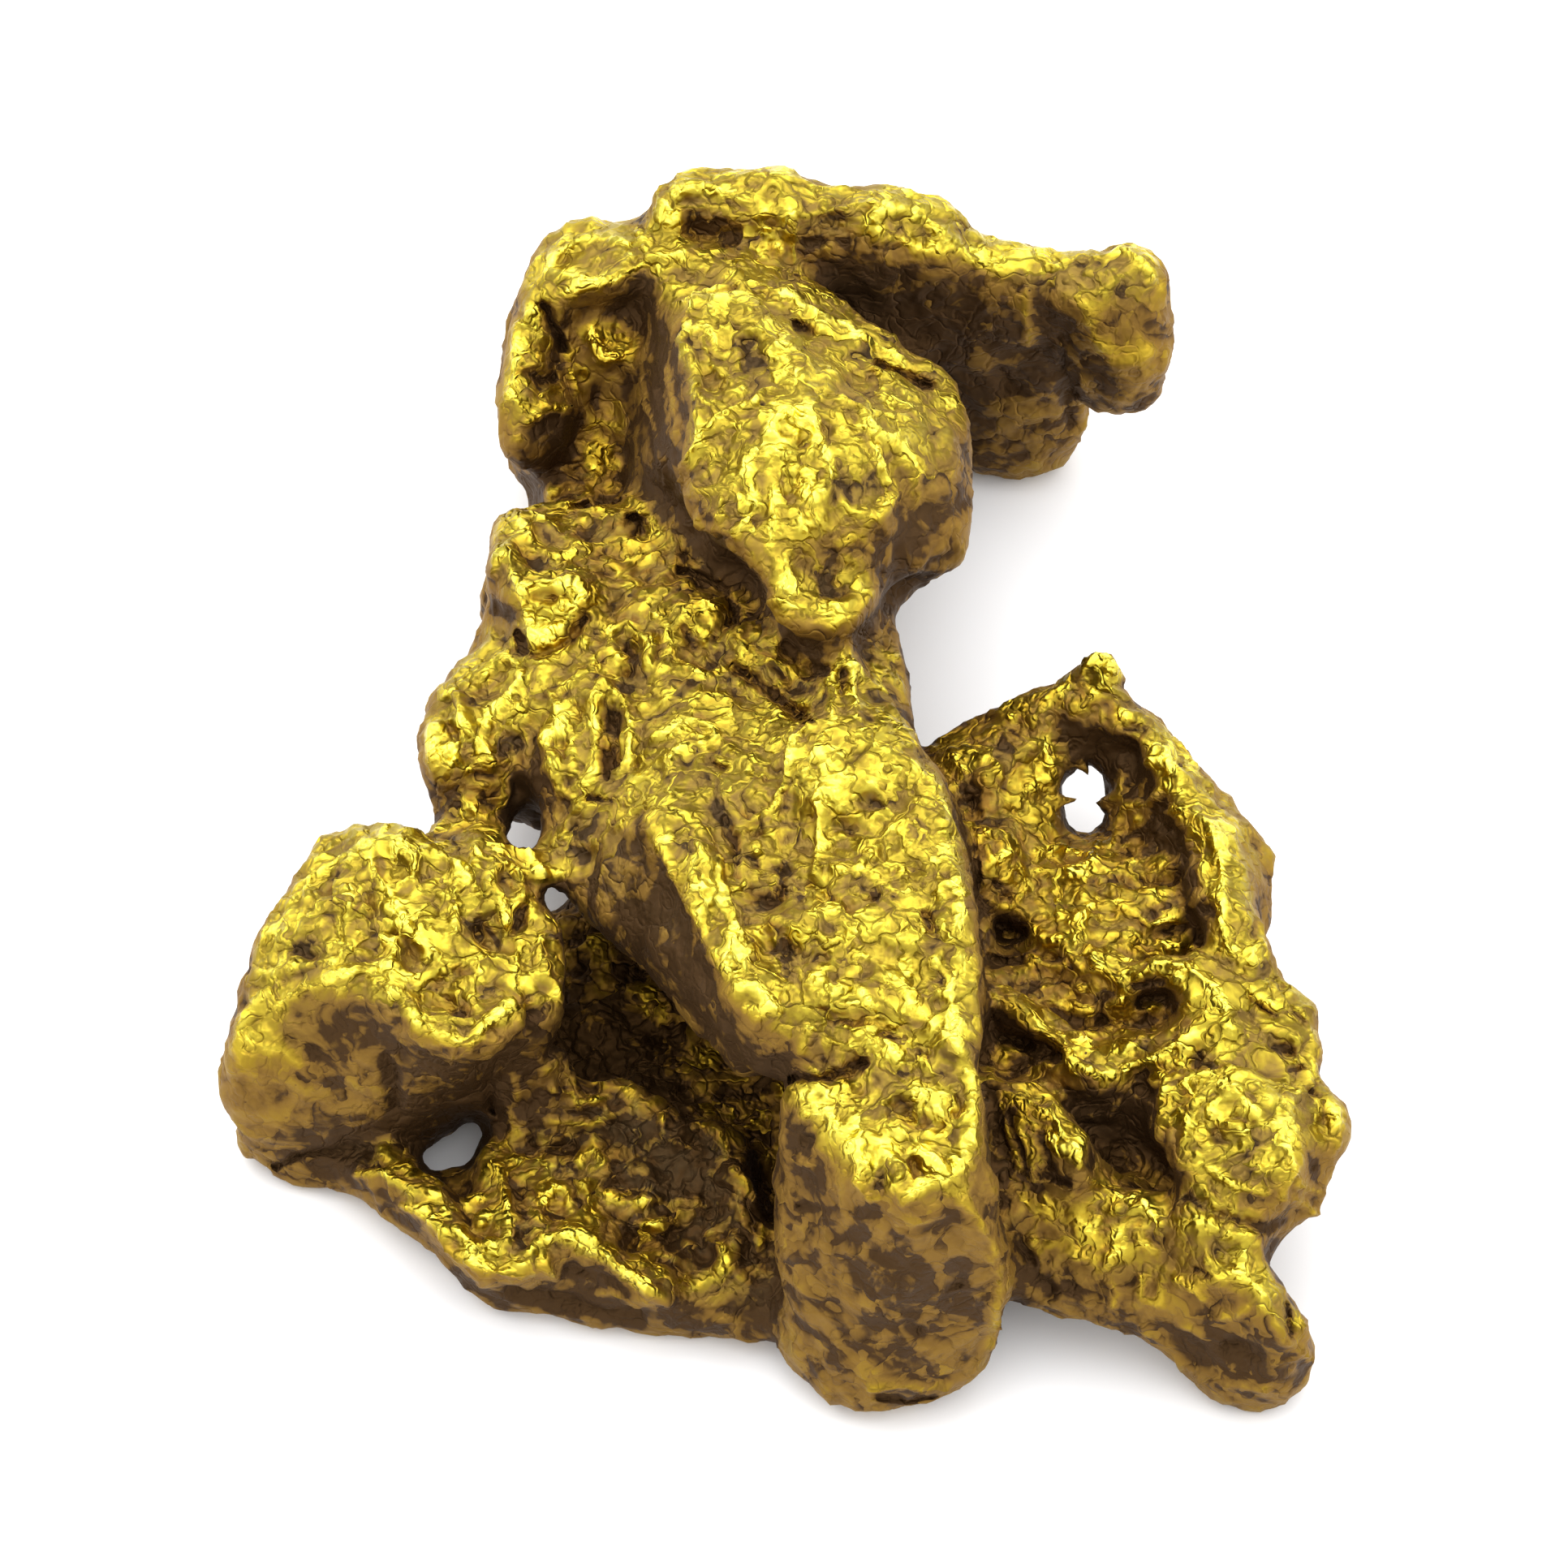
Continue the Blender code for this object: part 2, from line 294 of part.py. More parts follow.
def boot(clay):
    """The boot-shaped lobe on the left."""
    clay.lump((-8.1, -1.6, 4.8, 0.65), (-8.9, -1.7, 4.5, 0.75), (-9.6, -2.7, 4.3, 0.75),
              (-10.0, -4.0, 4.2, 0.75), (-8.0, -4.6, 5.0, 0.45), (-6.6, -5.0, 5.0, 0.4),
              (-5.7, -4.5, 5.0, 0.4), (-6.3, -2.2, 5.0, 0.5), (-5.6, -2.7, 5.0, 0.4),
              (-9.6, -5.5, 2.2, 1.0), (-7.0, -5.8, 2.0, 0.9), (-7.0, -3.0, 2.2, 1.0))
    clay.lump((-7.75, -1.75, 5.2, 0.45), (-8.25, -1.35, 5.1, 0.5), (-9.0, -2.6, 5.0, 0.5),
              (-7.6, -2.8, 5.3, 0.5))
    clay.lump((-6.5, -1.4, 5.1, 0.4), (-5.9, -1.7, 5.1, 0.4), (-6.0, -2.6, 5.3, 0.4),
              (-6.9, -1.9, 5.1, 0.4), (-6.3, -2.2, 4.0, 0.8))
    clay.ridge((-5.6, -1.2, 4.9, 0.3), (-5.2, -1.8, 5.0, 0.3), (-4.95, -2.5, 5.1, 0.3))
    clay.lump((-6.8, -0.3, 3.8, 0.4), (-6.1, -0.3, 3.8, 0.35), (-6.7, -1.4, 4.2, 0.4),
              (-6.0, -1.4, 4.2, 0.3))
    clay.ridge((-9.0, -3.9, 5.0, 0.4), (-8.3, -4.3, 5.4, 0.4), (-7.6, -4.9, 5.5, 0.4),
               (-6.8, -5.3, 5.4, 0.35), (-6.0, -5.2, 5.4, 0.35), (-5.5, -4.7, 5.4, 0.35))
    clay.lump((-10.0, -3.0, 4.3, 0.7), (-10.15, -4.0, 4.2, 0.65), (-10.7, -5.55, 3.3, 0.65),
              (-10.75, -6.3, 2.4, 0.75), (-10.5, -6.8, 1.6, 0.75), (-9.4, -6.8, 1.3, 0.75),
              (-9.4, -4.8, 4.3, 0.5), (-8.4, -6.0, 2.5, 0.8))
    clay.lump((-9.4, -6.8, 1.2, 0.75), (-7.8, -6.8, 1.0, 0.75), (-6.8, -6.4, 1.4, 0.6),
              (-8.0, -4.9, 4.8, 0.45), (-6.5, -5.3, 4.8, 0.4), (-8.0, -5.0, 1.5, 0.9))
    clay.lump((-4.95, -2.9, 5.0, 0.35), (-4.8, -4.0, 5.0, 0.35), (-4.95, -4.9, 4.8, 0.35),
              (-6.0, -3.0, 5.0, 0.4), (-5.8, -4.6, 4.8, 0.4), (-5.6, -4.5, 2.5, 0.8),
              (-6.4, -5.6, 3.0, 0.7), (-6.5, -6.2, 1.5, 0.6))
    clay.ridge((-10.85, -7.3, 0.7, 0.5), (-10.4, -7.7, 0.6, 0.45), (-9.4, -7.9, 0.6, 0.4),
               (-8.6, -8.0, 0.7, 0.45))
    clay.lump((-10.4, -6.6, 0.9, 0.6), (-8.8, -6.9, 0.9, 0.6), (-10.3, -7.5, 0.5, 0.4),
              (-8.8, -7.7, 0.5, 0.4))


def ledge(clay):
    """The low bowl-shaped sheet in front, left of the foot, and the floor of the cave behind it."""
    clay.lump((-8.4, -8.1, 0.9, 0.4), (-7.6, -8.25, 0.9, 0.35), (-6.8, -9.0, 1.0, 0.35),
              (-6.25, -9.8, 0.9, 0.4), (-6.2, -8.6, 0.8, 0.4))
    clay.lump((-6.45, -9.7, 0.8, 0.5), (-5.6, -10.25, 0.8, 0.6), (-3.6, -10.25, 0.8, 0.65),
              (-1.6, -10.55, 0.8, 0.7), (-0.3, -10.5, 1.0, 0.75), (-5.6, -6.9, 1.0, 0.4),
              (-0.8, -8.0, 1.0, 0.6), (-3.0, -6.4, 1.0, 0.6))
    clay.ridge((-8.4, -7.9, 1.5, 0.35), (-7.7, -8.2, 1.7, 0.35), (-7.0, -8.9, 1.8, 0.35),
               (-6.6, -9.4, 1.9, 0.35), (-6.0, -9.9, 2.0, 0.4), (-5.2, -9.9, 2.1, 0.4),
               (-4.9, -9.4, 2.2, 0.4), (-4.4, -9.3, 2.3, 0.35), (-4.0, -9.4, 2.2, 0.35),
               (-3.6, -9.8, 2.1, 0.35), (-3.0, -10.2, 1.9, 0.35), (-2.4, -10.4, 1.8, 0.35))
    clay.ridge((-5.9, -7.7, 1.8, 0.35), (-5.7, -8.5, 1.9, 0.35), (-5.5, -9.3, 2.0, 0.35))
    clay.lump((-4.8, -8.3, 1.8, 0.4), (-4.6, -8.3, 1.8, 0.4))
    clay.ridge((-4.7, -6.3, 2.2, 0.35), (-4.0, -6.4, 2.4, 0.35), (-3.2, -6.35, 2.4, 0.35),
               (-2.6, -6.9, 2.4, 0.35), (-2.0, -7.3, 2.4, 0.35))
    clay.lump((-1.6, -7.4, 2.2, 0.5), (-1.2, -7.6, 2.2, 0.5), (-1.3, -8.2, 1.6, 0.5))
    clay.lump((-5.2, -5.5, 3.4, 0.4), (-4.7, -6.0, 3.0, 0.4), (-5.5, -6.5, 2.4, 0.4),
              (-4.4, -6.8, 1.8, 0.5), (-5.4, -7.3, 1.4, 0.4))
    clay.lump((-4.6, -6.7, 1.7, 0.5), (-2.6, -7.2, 1.8, 0.5), (-2.2, -9.2, 1.6, 0.5),
              (-5.2, -8.9, 1.5, 0.5), (-5.8, -7.6, 1.4, 0.4), (-3.6, -9.2, 1.6, 0.4))
    clay.ridge((-0.9, -8.0, 2.4, 0.35), (-0.7, -9.0, 2.2, 0.35), (-1.2, -9.9, 1.8, 0.35))
    clay.lump((-4.8, -3.4, 0.8, 0.5), (-5.0, -6.2, 0.8, 0.5), (-0.3, -8.0, 0.8, 0.6), (0.3, -6.0, 0.9, 0.7),
              (-2.0, -3.0, 0.9, 0.8), (-3.4, -2.2, 1.0, 0.8))


def wing(clay):
    """The crumpled wing on the right."""
    clay.lump((3.3, 0.4, 3.4, 0.5), (4.2, 0.5, 3.4, 0.4), (5.6, 1.5, 4.0, 0.5), (6.4, 1.5, 4.0, 0.4),
              (5.4, 0.0, 3.2, 0.4), (4.6, -2.0, 3.2, 0.8), (3.0, -2.0, 3.2, 1.0), (5.4, -2.4, 2.6, 0.8))
    clay.lump((7.2, 1.2, 4.1, 0.5), (7.6, 0.6, 4.1, 0.6), (8.4, -0.5, 4.1, 0.6), (9.4, -1.6, 3.9, 0.65),
              (9.2, -2.9, 3.9, 0.6), (7.2, 0.0, 3.0, 0.4), (7.8, -1.8, 2.8, 0.6), (8.2, -3.2, 2.8, 0.8))
    clay.lump((5.0, -2.2, 3.4, 0.6), (7.0, -1.9, 3.0, 0.5), (6.6, -3.4, 3.8, 0.45), (8.4, -2.9, 3.6, 0.5),
              (6.0, -3.0, 2.2, 0.9), (7.8, -1.4, 2.6, 0.5), (5.6, -1.7, 3.4, 0.4))
    clay.ridge((3.9, 0.3, 3.9, 0.35), (4.5, 0.75, 4.0, 0.35), (5.2, 1.42, 4.4, 0.4), (5.9, 1.8, 4.7, 0.4),
               (6.45, 2.0, 5.0, 0.42), (6.55, 2.33, 5.2, 0.42))
    clay.lump((5.9, 1.7, 4.6, 0.4), (6.2, 1.2, 4.4, 0.35), (6.4, 1.9, 4.7, 0.4))
    clay.ridge((6.85, 1.35, 4.9, 0.4), (7.4, 1.1, 4.9, 0.4), (7.8, 0.4, 4.9, 0.4), (8.4, -0.5, 4.9, 0.4),
               (8.8, -1.4, 4.9, 0.45), (8.9, -2.4, 4.9, 0.45), (9.2, -3.2, 4.9, 0.45),
               (9.6, -3.6, 4.8, 0.4))
    clay.ridge((5.0, -3.1, 3.9, 0.3), (5.9, -3.4, 4.2, 0.3), (6.7, -3.9, 4.3, 0.3))
    clay.ridge((8.3, -2.4, 4.0, 0.3), (7.7, -2.8, 4.0, 0.3), (7.1, -2.7, 3.9, 0.3))
    clay.lump((4.4, -1.1, 4.4, 0.4), (4.45, -1.9, 4.4, 0.4), (4.6, -2.2, 3.8, 0.4))
    clay.lump((3.7, 0.3, 4.3, 0.35), (4.1, -0.1, 4.4, 0.35), (3.6, -0.5, 4.0, 0.4))
    clay.lump((3.2, -3.5, 3.2, 1.0), (8.8, -4.4, 3.2, 0.7), (9.9, -4.8, 3.0, 0.7), (10.2, -5.6, 3.0, 0.7),
              (3.8, -6.0, 3.2, 0.8), (9.0, -6.5, 3.0, 0.9), (6.5, -5.0, 2.6, 1.0), (5.0, -3.6, 2.0, 0.8))
    clay.lump((5.3, -4.4, 3.6, 0.35), (6.9, -4.8, 3.7, 0.35), (5.8, -4.0, 3.4, 0.35),
              (6.6, -4.3, 3.6, 0.35))
    clay.ridge((4.5, -4.5, 4.5, 0.3), (5.3, -5.1, 4.5, 0.3), (6.1, -5.8, 4.4, 0.3), (6.6, -6.1, 4.2, 0.3))
    clay.ridge((7.0, -4.1, 4.6, 0.3), (7.4, -3.8, 4.8, 0.3), (8.0, -3.75, 4.9, 0.35),
               (8.6, -4.2, 4.9, 0.35), (9.0, -4.9, 4.8, 0.35), (9.2, -5.5, 4.6, 0.35))
    clay.ridge((6.3, -5.9, 4.2, 0.3), (7.2, -5.7, 4.3, 0.3), (8.0, -5.4, 4.4, 0.35), (8.6, -5.0, 4.5, 0.35))
    clay.lump((7.4, -5.2, 3.4, 0.5), (8.8, -5.2, 3.8, 0.5), (8.6, -5.9, 3.6, 0.5), (7.2, -5.9, 3.4, 0.5))
    clay.ridge((9.9, -4.4, 4.4, 0.4), (10.4, -4.7, 4.4, 0.4), (10.55, -5.3, 4.2, 0.4),
               (10.4, -5.8, 4.1, 0.4), (9.9, -5.5, 4.2, 0.35))
    clay.lump((8.2, -6.2, 4.9, 0.35), (9.1, -6.0, 5.1, 0.4), (9.9, -6.5, 5.0, 0.4), (10.2, -7.6, 4.6, 0.4),
              (10.0, -8.3, 4.2, 0.35), (8.9, -8.2, 4.3, 0.35), (8.2, -7.6, 4.5, 0.35),
              (9.2, -7.0, 3.2, 1.0))
    clay.lump((7.6, -6.2, 4.5, 0.25), (7.7, -7.2, 4.3, 0.25), (8.2, -6.1, 4.8, 0.3), (8.2, -7.4, 4.5, 0.3),
              (8.2, -6.8, 3.2, 0.6))
    clay.lump((10.2, -6.4, 4.2, 0.5), (10.3, -8.0, 3.6, 0.6), (9.4, -8.0, 3.6, 0.6), (9.0, -7.0, 3.0, 1.0))
    clay.lump((11.05, -6.65, 4.1, 0.4), (11.1, -7.2, 4.0, 0.4), (10.6, -6.8, 3.8, 0.4))
    clay.lump((10.8, -8.2, 3.4, 0.4), (10.4, -8.7, 3.2, 0.45), (10.2, -8.0, 3.4, 0.6),
              (9.6, -8.8, 3.0, 0.6))
    clay.ridge((8.4, -8.7, 4.2, 0.3), (9.1, -8.9, 4.1, 0.35), (9.9, -8.9, 3.8, 0.35))
    clay.lump((4.2, -6.6, 3.6, 0.6), (5.2, -7.0, 3.8, 0.5), (5.9, -7.8, 3.6, 0.45), (4.6, -8.6, 3.0, 0.6),
              (4.4, -9.4, 2.4, 0.6), (6.0, -9.0, 2.6, 0.6))
    clay.ridge((4.4, -6.35, 4.3, 0.3), (5.2, -6.85, 4.5, 0.3), (5.8, -7.5, 4.4, 0.3), (6.0, -8.1, 4.1, 0.3))
    clay.lump((6.3, -8.2, 3.2, 0.4), (6.8, -8.4, 3.2, 0.4), (6.5, -8.6, 2.8, 0.4))
    clay.ridge((6.9, -8.5, 3.5, 0.3), (7.4, -8.6, 3.6, 0.3), (7.8, -9.1, 3.5, 0.3))
    clay.lump((6.0, -6.8, 2.2, 0.8), (8.2, -7.0, 2.0, 0.8), (8.4, -8.6, 1.8, 0.8), (6.6, -8.6, 1.8, 0.8))
    clay.lump((5.0, -9.2, 2.6, 0.5), (6.6, -9.0, 2.8, 0.5), (8.2, -9.4, 3.0, 0.5), (9.0, -9.9, 3.0, 0.5),
              (5.2, -10.0, 1.9, 0.6), (6.4, -10.3, 1.8, 0.6), (7.6, -10.7, 1.6, 0.7),
              (8.6, -10.9, 1.6, 0.8), (9.2, -9.2, 2.4, 0.7), (4.2, -9.4, 2.0, 0.7))


def right_foot(clay):
    """The small foot under the wing's front corner."""
    clay.lump((8.6, -9.7, 3.6, 0.45), (9.3, -9.9, 3.6, 0.45), (9.7, -10.4, 3.3, 0.4),
              (10.0, -11.0, 2.6, 0.45), (10.3, -11.9, 1.0, 0.5), (9.8, -12.1, 0.7, 0.55),
              (9.2, -12.0, 0.7, 0.6), (8.5, -11.5, 0.9, 0.65), (9.0, -10.5, 1.5, 0.8))
    clay.lump((10.6, -11.7, 1.2, 0.3), (10.3, -11.5, 1.4, 0.4))
    clay.lump((10.3, -10.8, 2.2, 0.2), (10.3, -11.1, 2.0, 0.2), (10.0, -10.9, 2.0, 0.4))


def press_hollows(clay):
    """The cave, the pits and the gaps that go right through."""
    clay.lump((-4.0, -3.6, 5.5, 0.5), (-3.8, -5.2, 5.5, 0.5), (-1.5, -6.4, 5.0, 0.4),
              (-0.8, -6.8, 5.0, 0.35), (-2.7, -4.6, 2.6, 0.8), (-1.4, -6.0, 2.4, 0.6),
              (-3.6, -5.0, 2.4, 0.8))
    for across, up, radius in ((6.3, -0.85, 0.42), (6.35, -0.2, 0.38), (5.85, 0.02, 0.32), (5.95, -0.9, 0.3)):
        clay.ridge((across, up, -1.0, radius), (across, up, 9.0, radius))
    clay.lump((6.45, 0.3, -1.0, 0.2), (6.45, 0.95, -1.0, 0.17), (6.45, 0.3, 6.0, 0.2),
              (6.45, 0.95, 6.0, 0.17))
    clay.lump((-7.4, -7.8, -1.0, 0.34), (-6.25, -7.1, -1.0, 0.34), (-7.4, -7.8, 5.0, 0.34),
              (-6.25, -7.1, 5.0, 0.34))
    clay.ridge((-5.4, -1.0, -1.0, 0.42), (-5.4, -1.0, 9.0, 0.42))
    clay.lump((-4.8, -2.2, -1.0, 0.3), (-4.35, -2.62, -1.0, 0.28), (-4.8, -2.2, 8.0, 0.3),
              (-4.35, -2.62, 8.0, 0.28))
    clay.lump((-10.6, -7.55, 1.4, 0.16), (-8.6, -7.35, 1.5, 0.16), (-10.2, -7.1, 1.3, 0.16),
              (-8.8, -6.9, 1.3, 0.16))
    clay.ridge((-0.5, -5.85, 7.6, 0.22), (0.4, -5.9, 7.7, 0.24), (1.3, -5.8, 7.7, 0.2))
    clay.lump((4.5, -2.95, 5.2, 0.42), (4.6, -3.4, 5.0, 0.45), (4.6, -3.0, 3.2, 0.35))
    clay.lump((7.35, -4.3, 5.6, 0.3), (7.8, -4.35, 5.4, 0.25), (7.5, -4.3, 3.4, 0.25))
    clay.lump((-1.1, -1.1, 7.6, 0.5), (0.5, -1.5, 8.1, 0.5), (-0.3, -2.3, 8.0, 0.45))
    clay.lump((1.3, -1.1, 8.2, 0.4), (2.1, -1.0, 8.2, 0.4), (1.5, -1.9, 8.2, 0.4))
    clay.lump((-0.8, 9.3, 9.3, 0.5), (-0.6, 8.4, 9.6, 0.5), (-1.1, 8.9, 9.4, 0.4))
    clay.lump((-1.4, 11.35, 7.9, 0.35), (-1.9, 11.45, 7.8, 0.3), (-1.0, 11.2, 7.8, 0.3))
    clay.lump((2.6, 11.5, 8.1, 0.3), (2.8, 11.3, 7.9, 0.3))
    clay.ridge((6.6, 10.9, 7.4, 0.25), (7.3, 10.2, 7.2, 0.25), (7.6, 9.7, 6.6, 0.22))
    clay.lump((4.7, -5.2, 5.0, 0.3), (5.5, -5.4, 4.6, 0.2), (4.7, -5.3, 4.0, 0.3))
    clay.lump((7.5, -6.3, 4.8, 0.22), (7.4, -6.3, 3.8, 0.22))
    clay.lump((6.8, -7.2, 5.0, 0.6), (7.6, -8.2, 4.6, 0.4), (6.6, -7.2, 4.4, 0.5))
    clay.lump((-3.9, 5.9, 4.2, 0.3), (-3.0, 5.55, 4.6, 0.3), (-3.6, 5.8, 3.6, 0.3))
    clay.lump((-5.0, 9.9, 6.6, 0.2), (-4.75, 9.3, 6.4, 0.18), (-4.8, 9.6, 5.2, 0.2))
    clay.lump((-5.0, 8.55, 6.2, 0.2), (-4.9, 8.5, 5.2, 0.2))
    clay.lump((3.0, 5.0, 8.0, 0.22), (3.6, 5.2, 7.6, 0.18), (3.2, 5.1, 6.8, 0.18))


def gold():
    """Native gold, worn by water to a dull shine."""
    material = bpy.data.materials.new("worn native gold")
    material.use_nodes = True
    shader = material.node_tree.nodes["Principled BSDF"]
    shader.inputs["Base Color"].default_value = GOLD_COLOUR
    shader.inputs["Metallic"].default_value = 1.0
    shader.inputs["Roughness"].default_value = GOLD_ROUGHNESS
    return material


def main():
    for thing in list(bpy.data.objects):
        bpy.data.objects.remove(thing)
    body = Clay(fuller=WEAR_DEPTH)
    for region in (behind, back_slab, head, hood, middle, column, boot, ledge, wing, right_foot):
        region(body)
    nugget = body.shape("nugget", GRAIN)
    hollows = Clay()
    press_hollows(hollows)
    subtract(nugget, hollows.shape("hollows", GRAIN))
    fuse(nugget, GRAIN)
    wear = nugget.modifiers.new("wear", "SMOOTH")
    wear.iterations = WEAR_PASSES
    for name, width, depth in DENTS:
        dent(nugget, name, width, depth)
    thin = nugget.modifiers.new("thin", "DECIMATE")
    thin.ratio = TRIANGLES / (2 * len(nugget.data.polygons))
    apply_all(nugget)
    wear_flat(nugget)
    nugget.data.materials.append(gold())
    nugget.data.shade_smooth()
    shelf = bpy.data.collections.new("gold nugget")
    bpy.context.scene.collection.children.link(shelf)
    bpy.context.scene.collection.objects.unlink(nugget)
    shelf.objects.link(nugget)


main()
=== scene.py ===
"""A water-worn gold nugget: its fine surface, its metal, and the lit table it lies on.

The plain solid gives the nugget its forms. Here its surface is worked as a modeller would work clay: ridges
are raised and pits pressed along strokes, then the whole is dented and roughened as river gravel leaves it.
"""

import math
from collections import namedtuple

import bpy
import numpy as np
from bpy.props import FloatProperty, IntProperty, PointerProperty, StringProperty
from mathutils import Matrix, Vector, noise
from mathutils.bvhtree import BVHTree


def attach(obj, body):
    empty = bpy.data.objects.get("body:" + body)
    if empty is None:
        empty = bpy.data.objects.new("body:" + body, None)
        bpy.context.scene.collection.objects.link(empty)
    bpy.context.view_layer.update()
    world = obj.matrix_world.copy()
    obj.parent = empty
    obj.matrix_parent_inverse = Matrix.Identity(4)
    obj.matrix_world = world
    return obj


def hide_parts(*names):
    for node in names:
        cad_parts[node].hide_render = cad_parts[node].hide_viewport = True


bl_info = {
    "name": "Gold nugget",
    "version": (1, 0, 0),
    "blender": (4, 5, 0),
    "location": "View3D > Sidebar > Nugget",
    "description": "Works the surface of a gold nugget and sets it on a lit table",
    "category": "Object",
}

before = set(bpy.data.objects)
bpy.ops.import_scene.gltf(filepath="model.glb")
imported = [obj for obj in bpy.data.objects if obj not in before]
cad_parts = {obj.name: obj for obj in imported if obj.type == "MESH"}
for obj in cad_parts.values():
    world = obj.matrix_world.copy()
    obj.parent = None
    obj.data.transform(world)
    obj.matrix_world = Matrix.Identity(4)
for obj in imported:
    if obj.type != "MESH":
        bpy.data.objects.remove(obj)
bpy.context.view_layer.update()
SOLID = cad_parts["nugget"]

MM = 0.001
TINY = 1e-9  # keeps a division by a length away from 0

# Strokes are placed on an oblique drawing of the nugget, seen from the front at this angle above the table.
# A place on it is across and up, in mm, and its zero is at this place on the table, in mm.
DRAWING_TILT = math.radians(60.0)
DRAWING_ZERO = (0.02, 2.14)
REST_CUT = 0.15  # mm that is worn off the nugget where it rests
SIGHT = Vector((0.0, math.cos(DRAWING_TILT), -math.sin(DRAWING_TILT)))
SIGHT_START = 20.0  # mm above the table, where a look at the surface starts

STEP = 0.07  # mm between the points of a stroke
LEAP = 0.6  # mm in height between two such points, where a stroke has left its form
NOTCH = 0.4  # mm across the notches in a stroke's edge
RAGGED = 1.5  # how deep those notches are
REACH = 1.6  # how far a ragged stroke can reach, in its widths
FALL = 1.6  # how steeply a stroke falls off from its middle
PIT_WALL = 0.7  # how much less steeply a pit falls off than other strokes
PIT_SHARE = 0.7  # how much of its depth a pit is pressed
SLIMMED = ("ridge", "pit")  # the kinds of strokes that are made slim

SOFTLY = 0.5  # how far a point moves to the middle of its neighbours when it is smoothed
CRISP, FINE, BROAD, WHOLE = 1, 2, 8, 16  # how often the ways the points face are evened out
SKYWARD = (0.0, 0.2, 0.98)  # the way the tops face; gold that faces this way keeps its full roughness and gets painted light, brighter than the flanks
FLANK = 0.35  # how much the last of a flank faces that way
FLANK_TO_TOP = 0.5  # how much more the first of a top does
FLANK_CALM = 0.65  # how much of the roughness flanks keep
FLANK_CROWN = 0.5  # how much small bumps count on flanks, where they count in full on tops
CROWN_PASSES = 10  # smoothings that take away the small bumps
CROWN_HEIGHT = 0.05  # mm that such a bump is high
HILL_PASSES = 60  # smoothings that take away the larger forms
HILL_HEIGHT = 0.2  # mm that such a form is high

FOLD_BEND = 0.6  # how far the pattern of the folds is bent, in folds
FOLD_NOISE = (1.0, 2.1, 2, 1.0, 2.0)  # its roughness, lacunarity, octaves, offset and gain
FOLD_MIDDLE = 1.2  # its middle value
CRUMB_OCTAVES = 2
CRUMB_MIDDLE = 0.5

LOOKS_SEED = 7
OUTWARD = 1.02  # over 1, so that no look goes into the surface
LOOK_START = 0.00003  # m above the surface, where a look at the sky starts

VECTORS = "ShaderNodeVectorMath"
FLAKE_SWAY = 4  # how far the pattern of the flakes is bent, in flakes
FLAKE_EDGE = (0.0, 0.12)  # where a flake's edge rises, in flakes from its rim
FLAKE_LEAN = 9  # how steeply a flake leans
CRACK_EDGE = (0.0, 0.03)  # where a crack's side rises, in the cracks' noise
CRACK_HEIGHT = 0.8  # a crack's depth, in flakes' heights
PATCHES = 900.0  # how many patches there are to a metre
PATCH_EDGE = (0.38, 0.58)  # where a patch begins and is full, in the patches' noise
TOP_CALM = 0.45  # how much of the flakes and patches tops keep
# The gold's tone is 0 in the hollows and 1 where it is rubbed bright. It also carries painted light and
# shade: it is made darker where little sky is open and brighter on tops that face the sky, and the strokes
# paint fronts, hollows and pits darker. It starts here, and each of these adds its share of it.
TONE_START = -0.69
TONE_SHARES = {"crown": 0.26, "open_sky": 0.3, "wear": 0.4, "flakes": 0.05, "patches": 0.34, "specks": 0.34,
               "skyward": 0.15, "hill": 0.22}
TONE_STOPS = (0.0, 0.07, 0.19, 0.38, 0.68, 0.96)  # painted shade of deep hollows, umber stain and shade, iron stain and shade, dull, body, and rubbed and lit gold
ROUGH_TONES = (0.2, 0.7)  # the tones between which the gold turns from dull to shining
BARE_TONES = (0.15, 0.5)  # the tones between which its crust gives way to bare metal
CRUST = (0.85, 1.0)  # how metallic it is at these tones
OPEN_BOWL = (0.5, 0.85)  # how open to the sky a bowl and a top are
GLINT = 0.1  # the strength of the crust's own shine

VIEW_HEIGHT = 5.0  # mm, the height of the middle of the view
VIEW_WIDTH = 32.2  # mm, the width of what the view shows
LENS = 400.0  # mm, on a sensor this wide
SENSOR = 36.0
VIEW_START = 0.01  # m from the camera, where the view starts
PAPER_ROUGHNESS = 0.9
LIGHTS = (("left light", "key", -35.0, 55.0), ("right light", "fill", 60.0, 60.0))  # in degrees, round and up
LIGHT_SIZE = 0.30  # m
LIGHT_AWAY = 0.2  # m from the middle of the view
WHITE = (1.0, 1.0, 1.0, 1.0)


def linear(code):
    """A colour given as an sRGB hex code, as linear red, green, blue and alpha."""
    parts = [int(code[at:at + 2], 16) / 255 for at in (1, 3, 5)]
    parts = [part / 12.92 if part <= 0.04045 else ((part + 0.055) / 1.055) ** 2.4 for part in parts]
    return (*parts, 1.0)


def on_table(across, up, height):
    """The point, in metres, drawn at (across, up) and standing at this height, all in mm."""
    away = (up - height * math.cos(DRAWING_TILT)) / math.sin(DRAWING_TILT)
    return Vector((across + DRAWING_ZERO[0], away + DRAWING_ZERO[1], height - REST_CUT)) * MM


def length(name, description, default):
    """A setting for a length in metres."""
    return FloatProperty(name=name, description=description, default=default, unit="LENGTH")


def factor(name, description, default):
    """A setting for a share or a strength."""
    return FloatProperty(name=name, description=description, default=default, subtype="FACTOR")


def count(name, description, default):
    """A setting for a number of things."""
    return IntProperty(name=name, description=description, default=default)


def colour(name, description, default):
    """A setting for a colour, as an sRGB hex code."""
    return StringProperty(name=name, description=description, default=default)


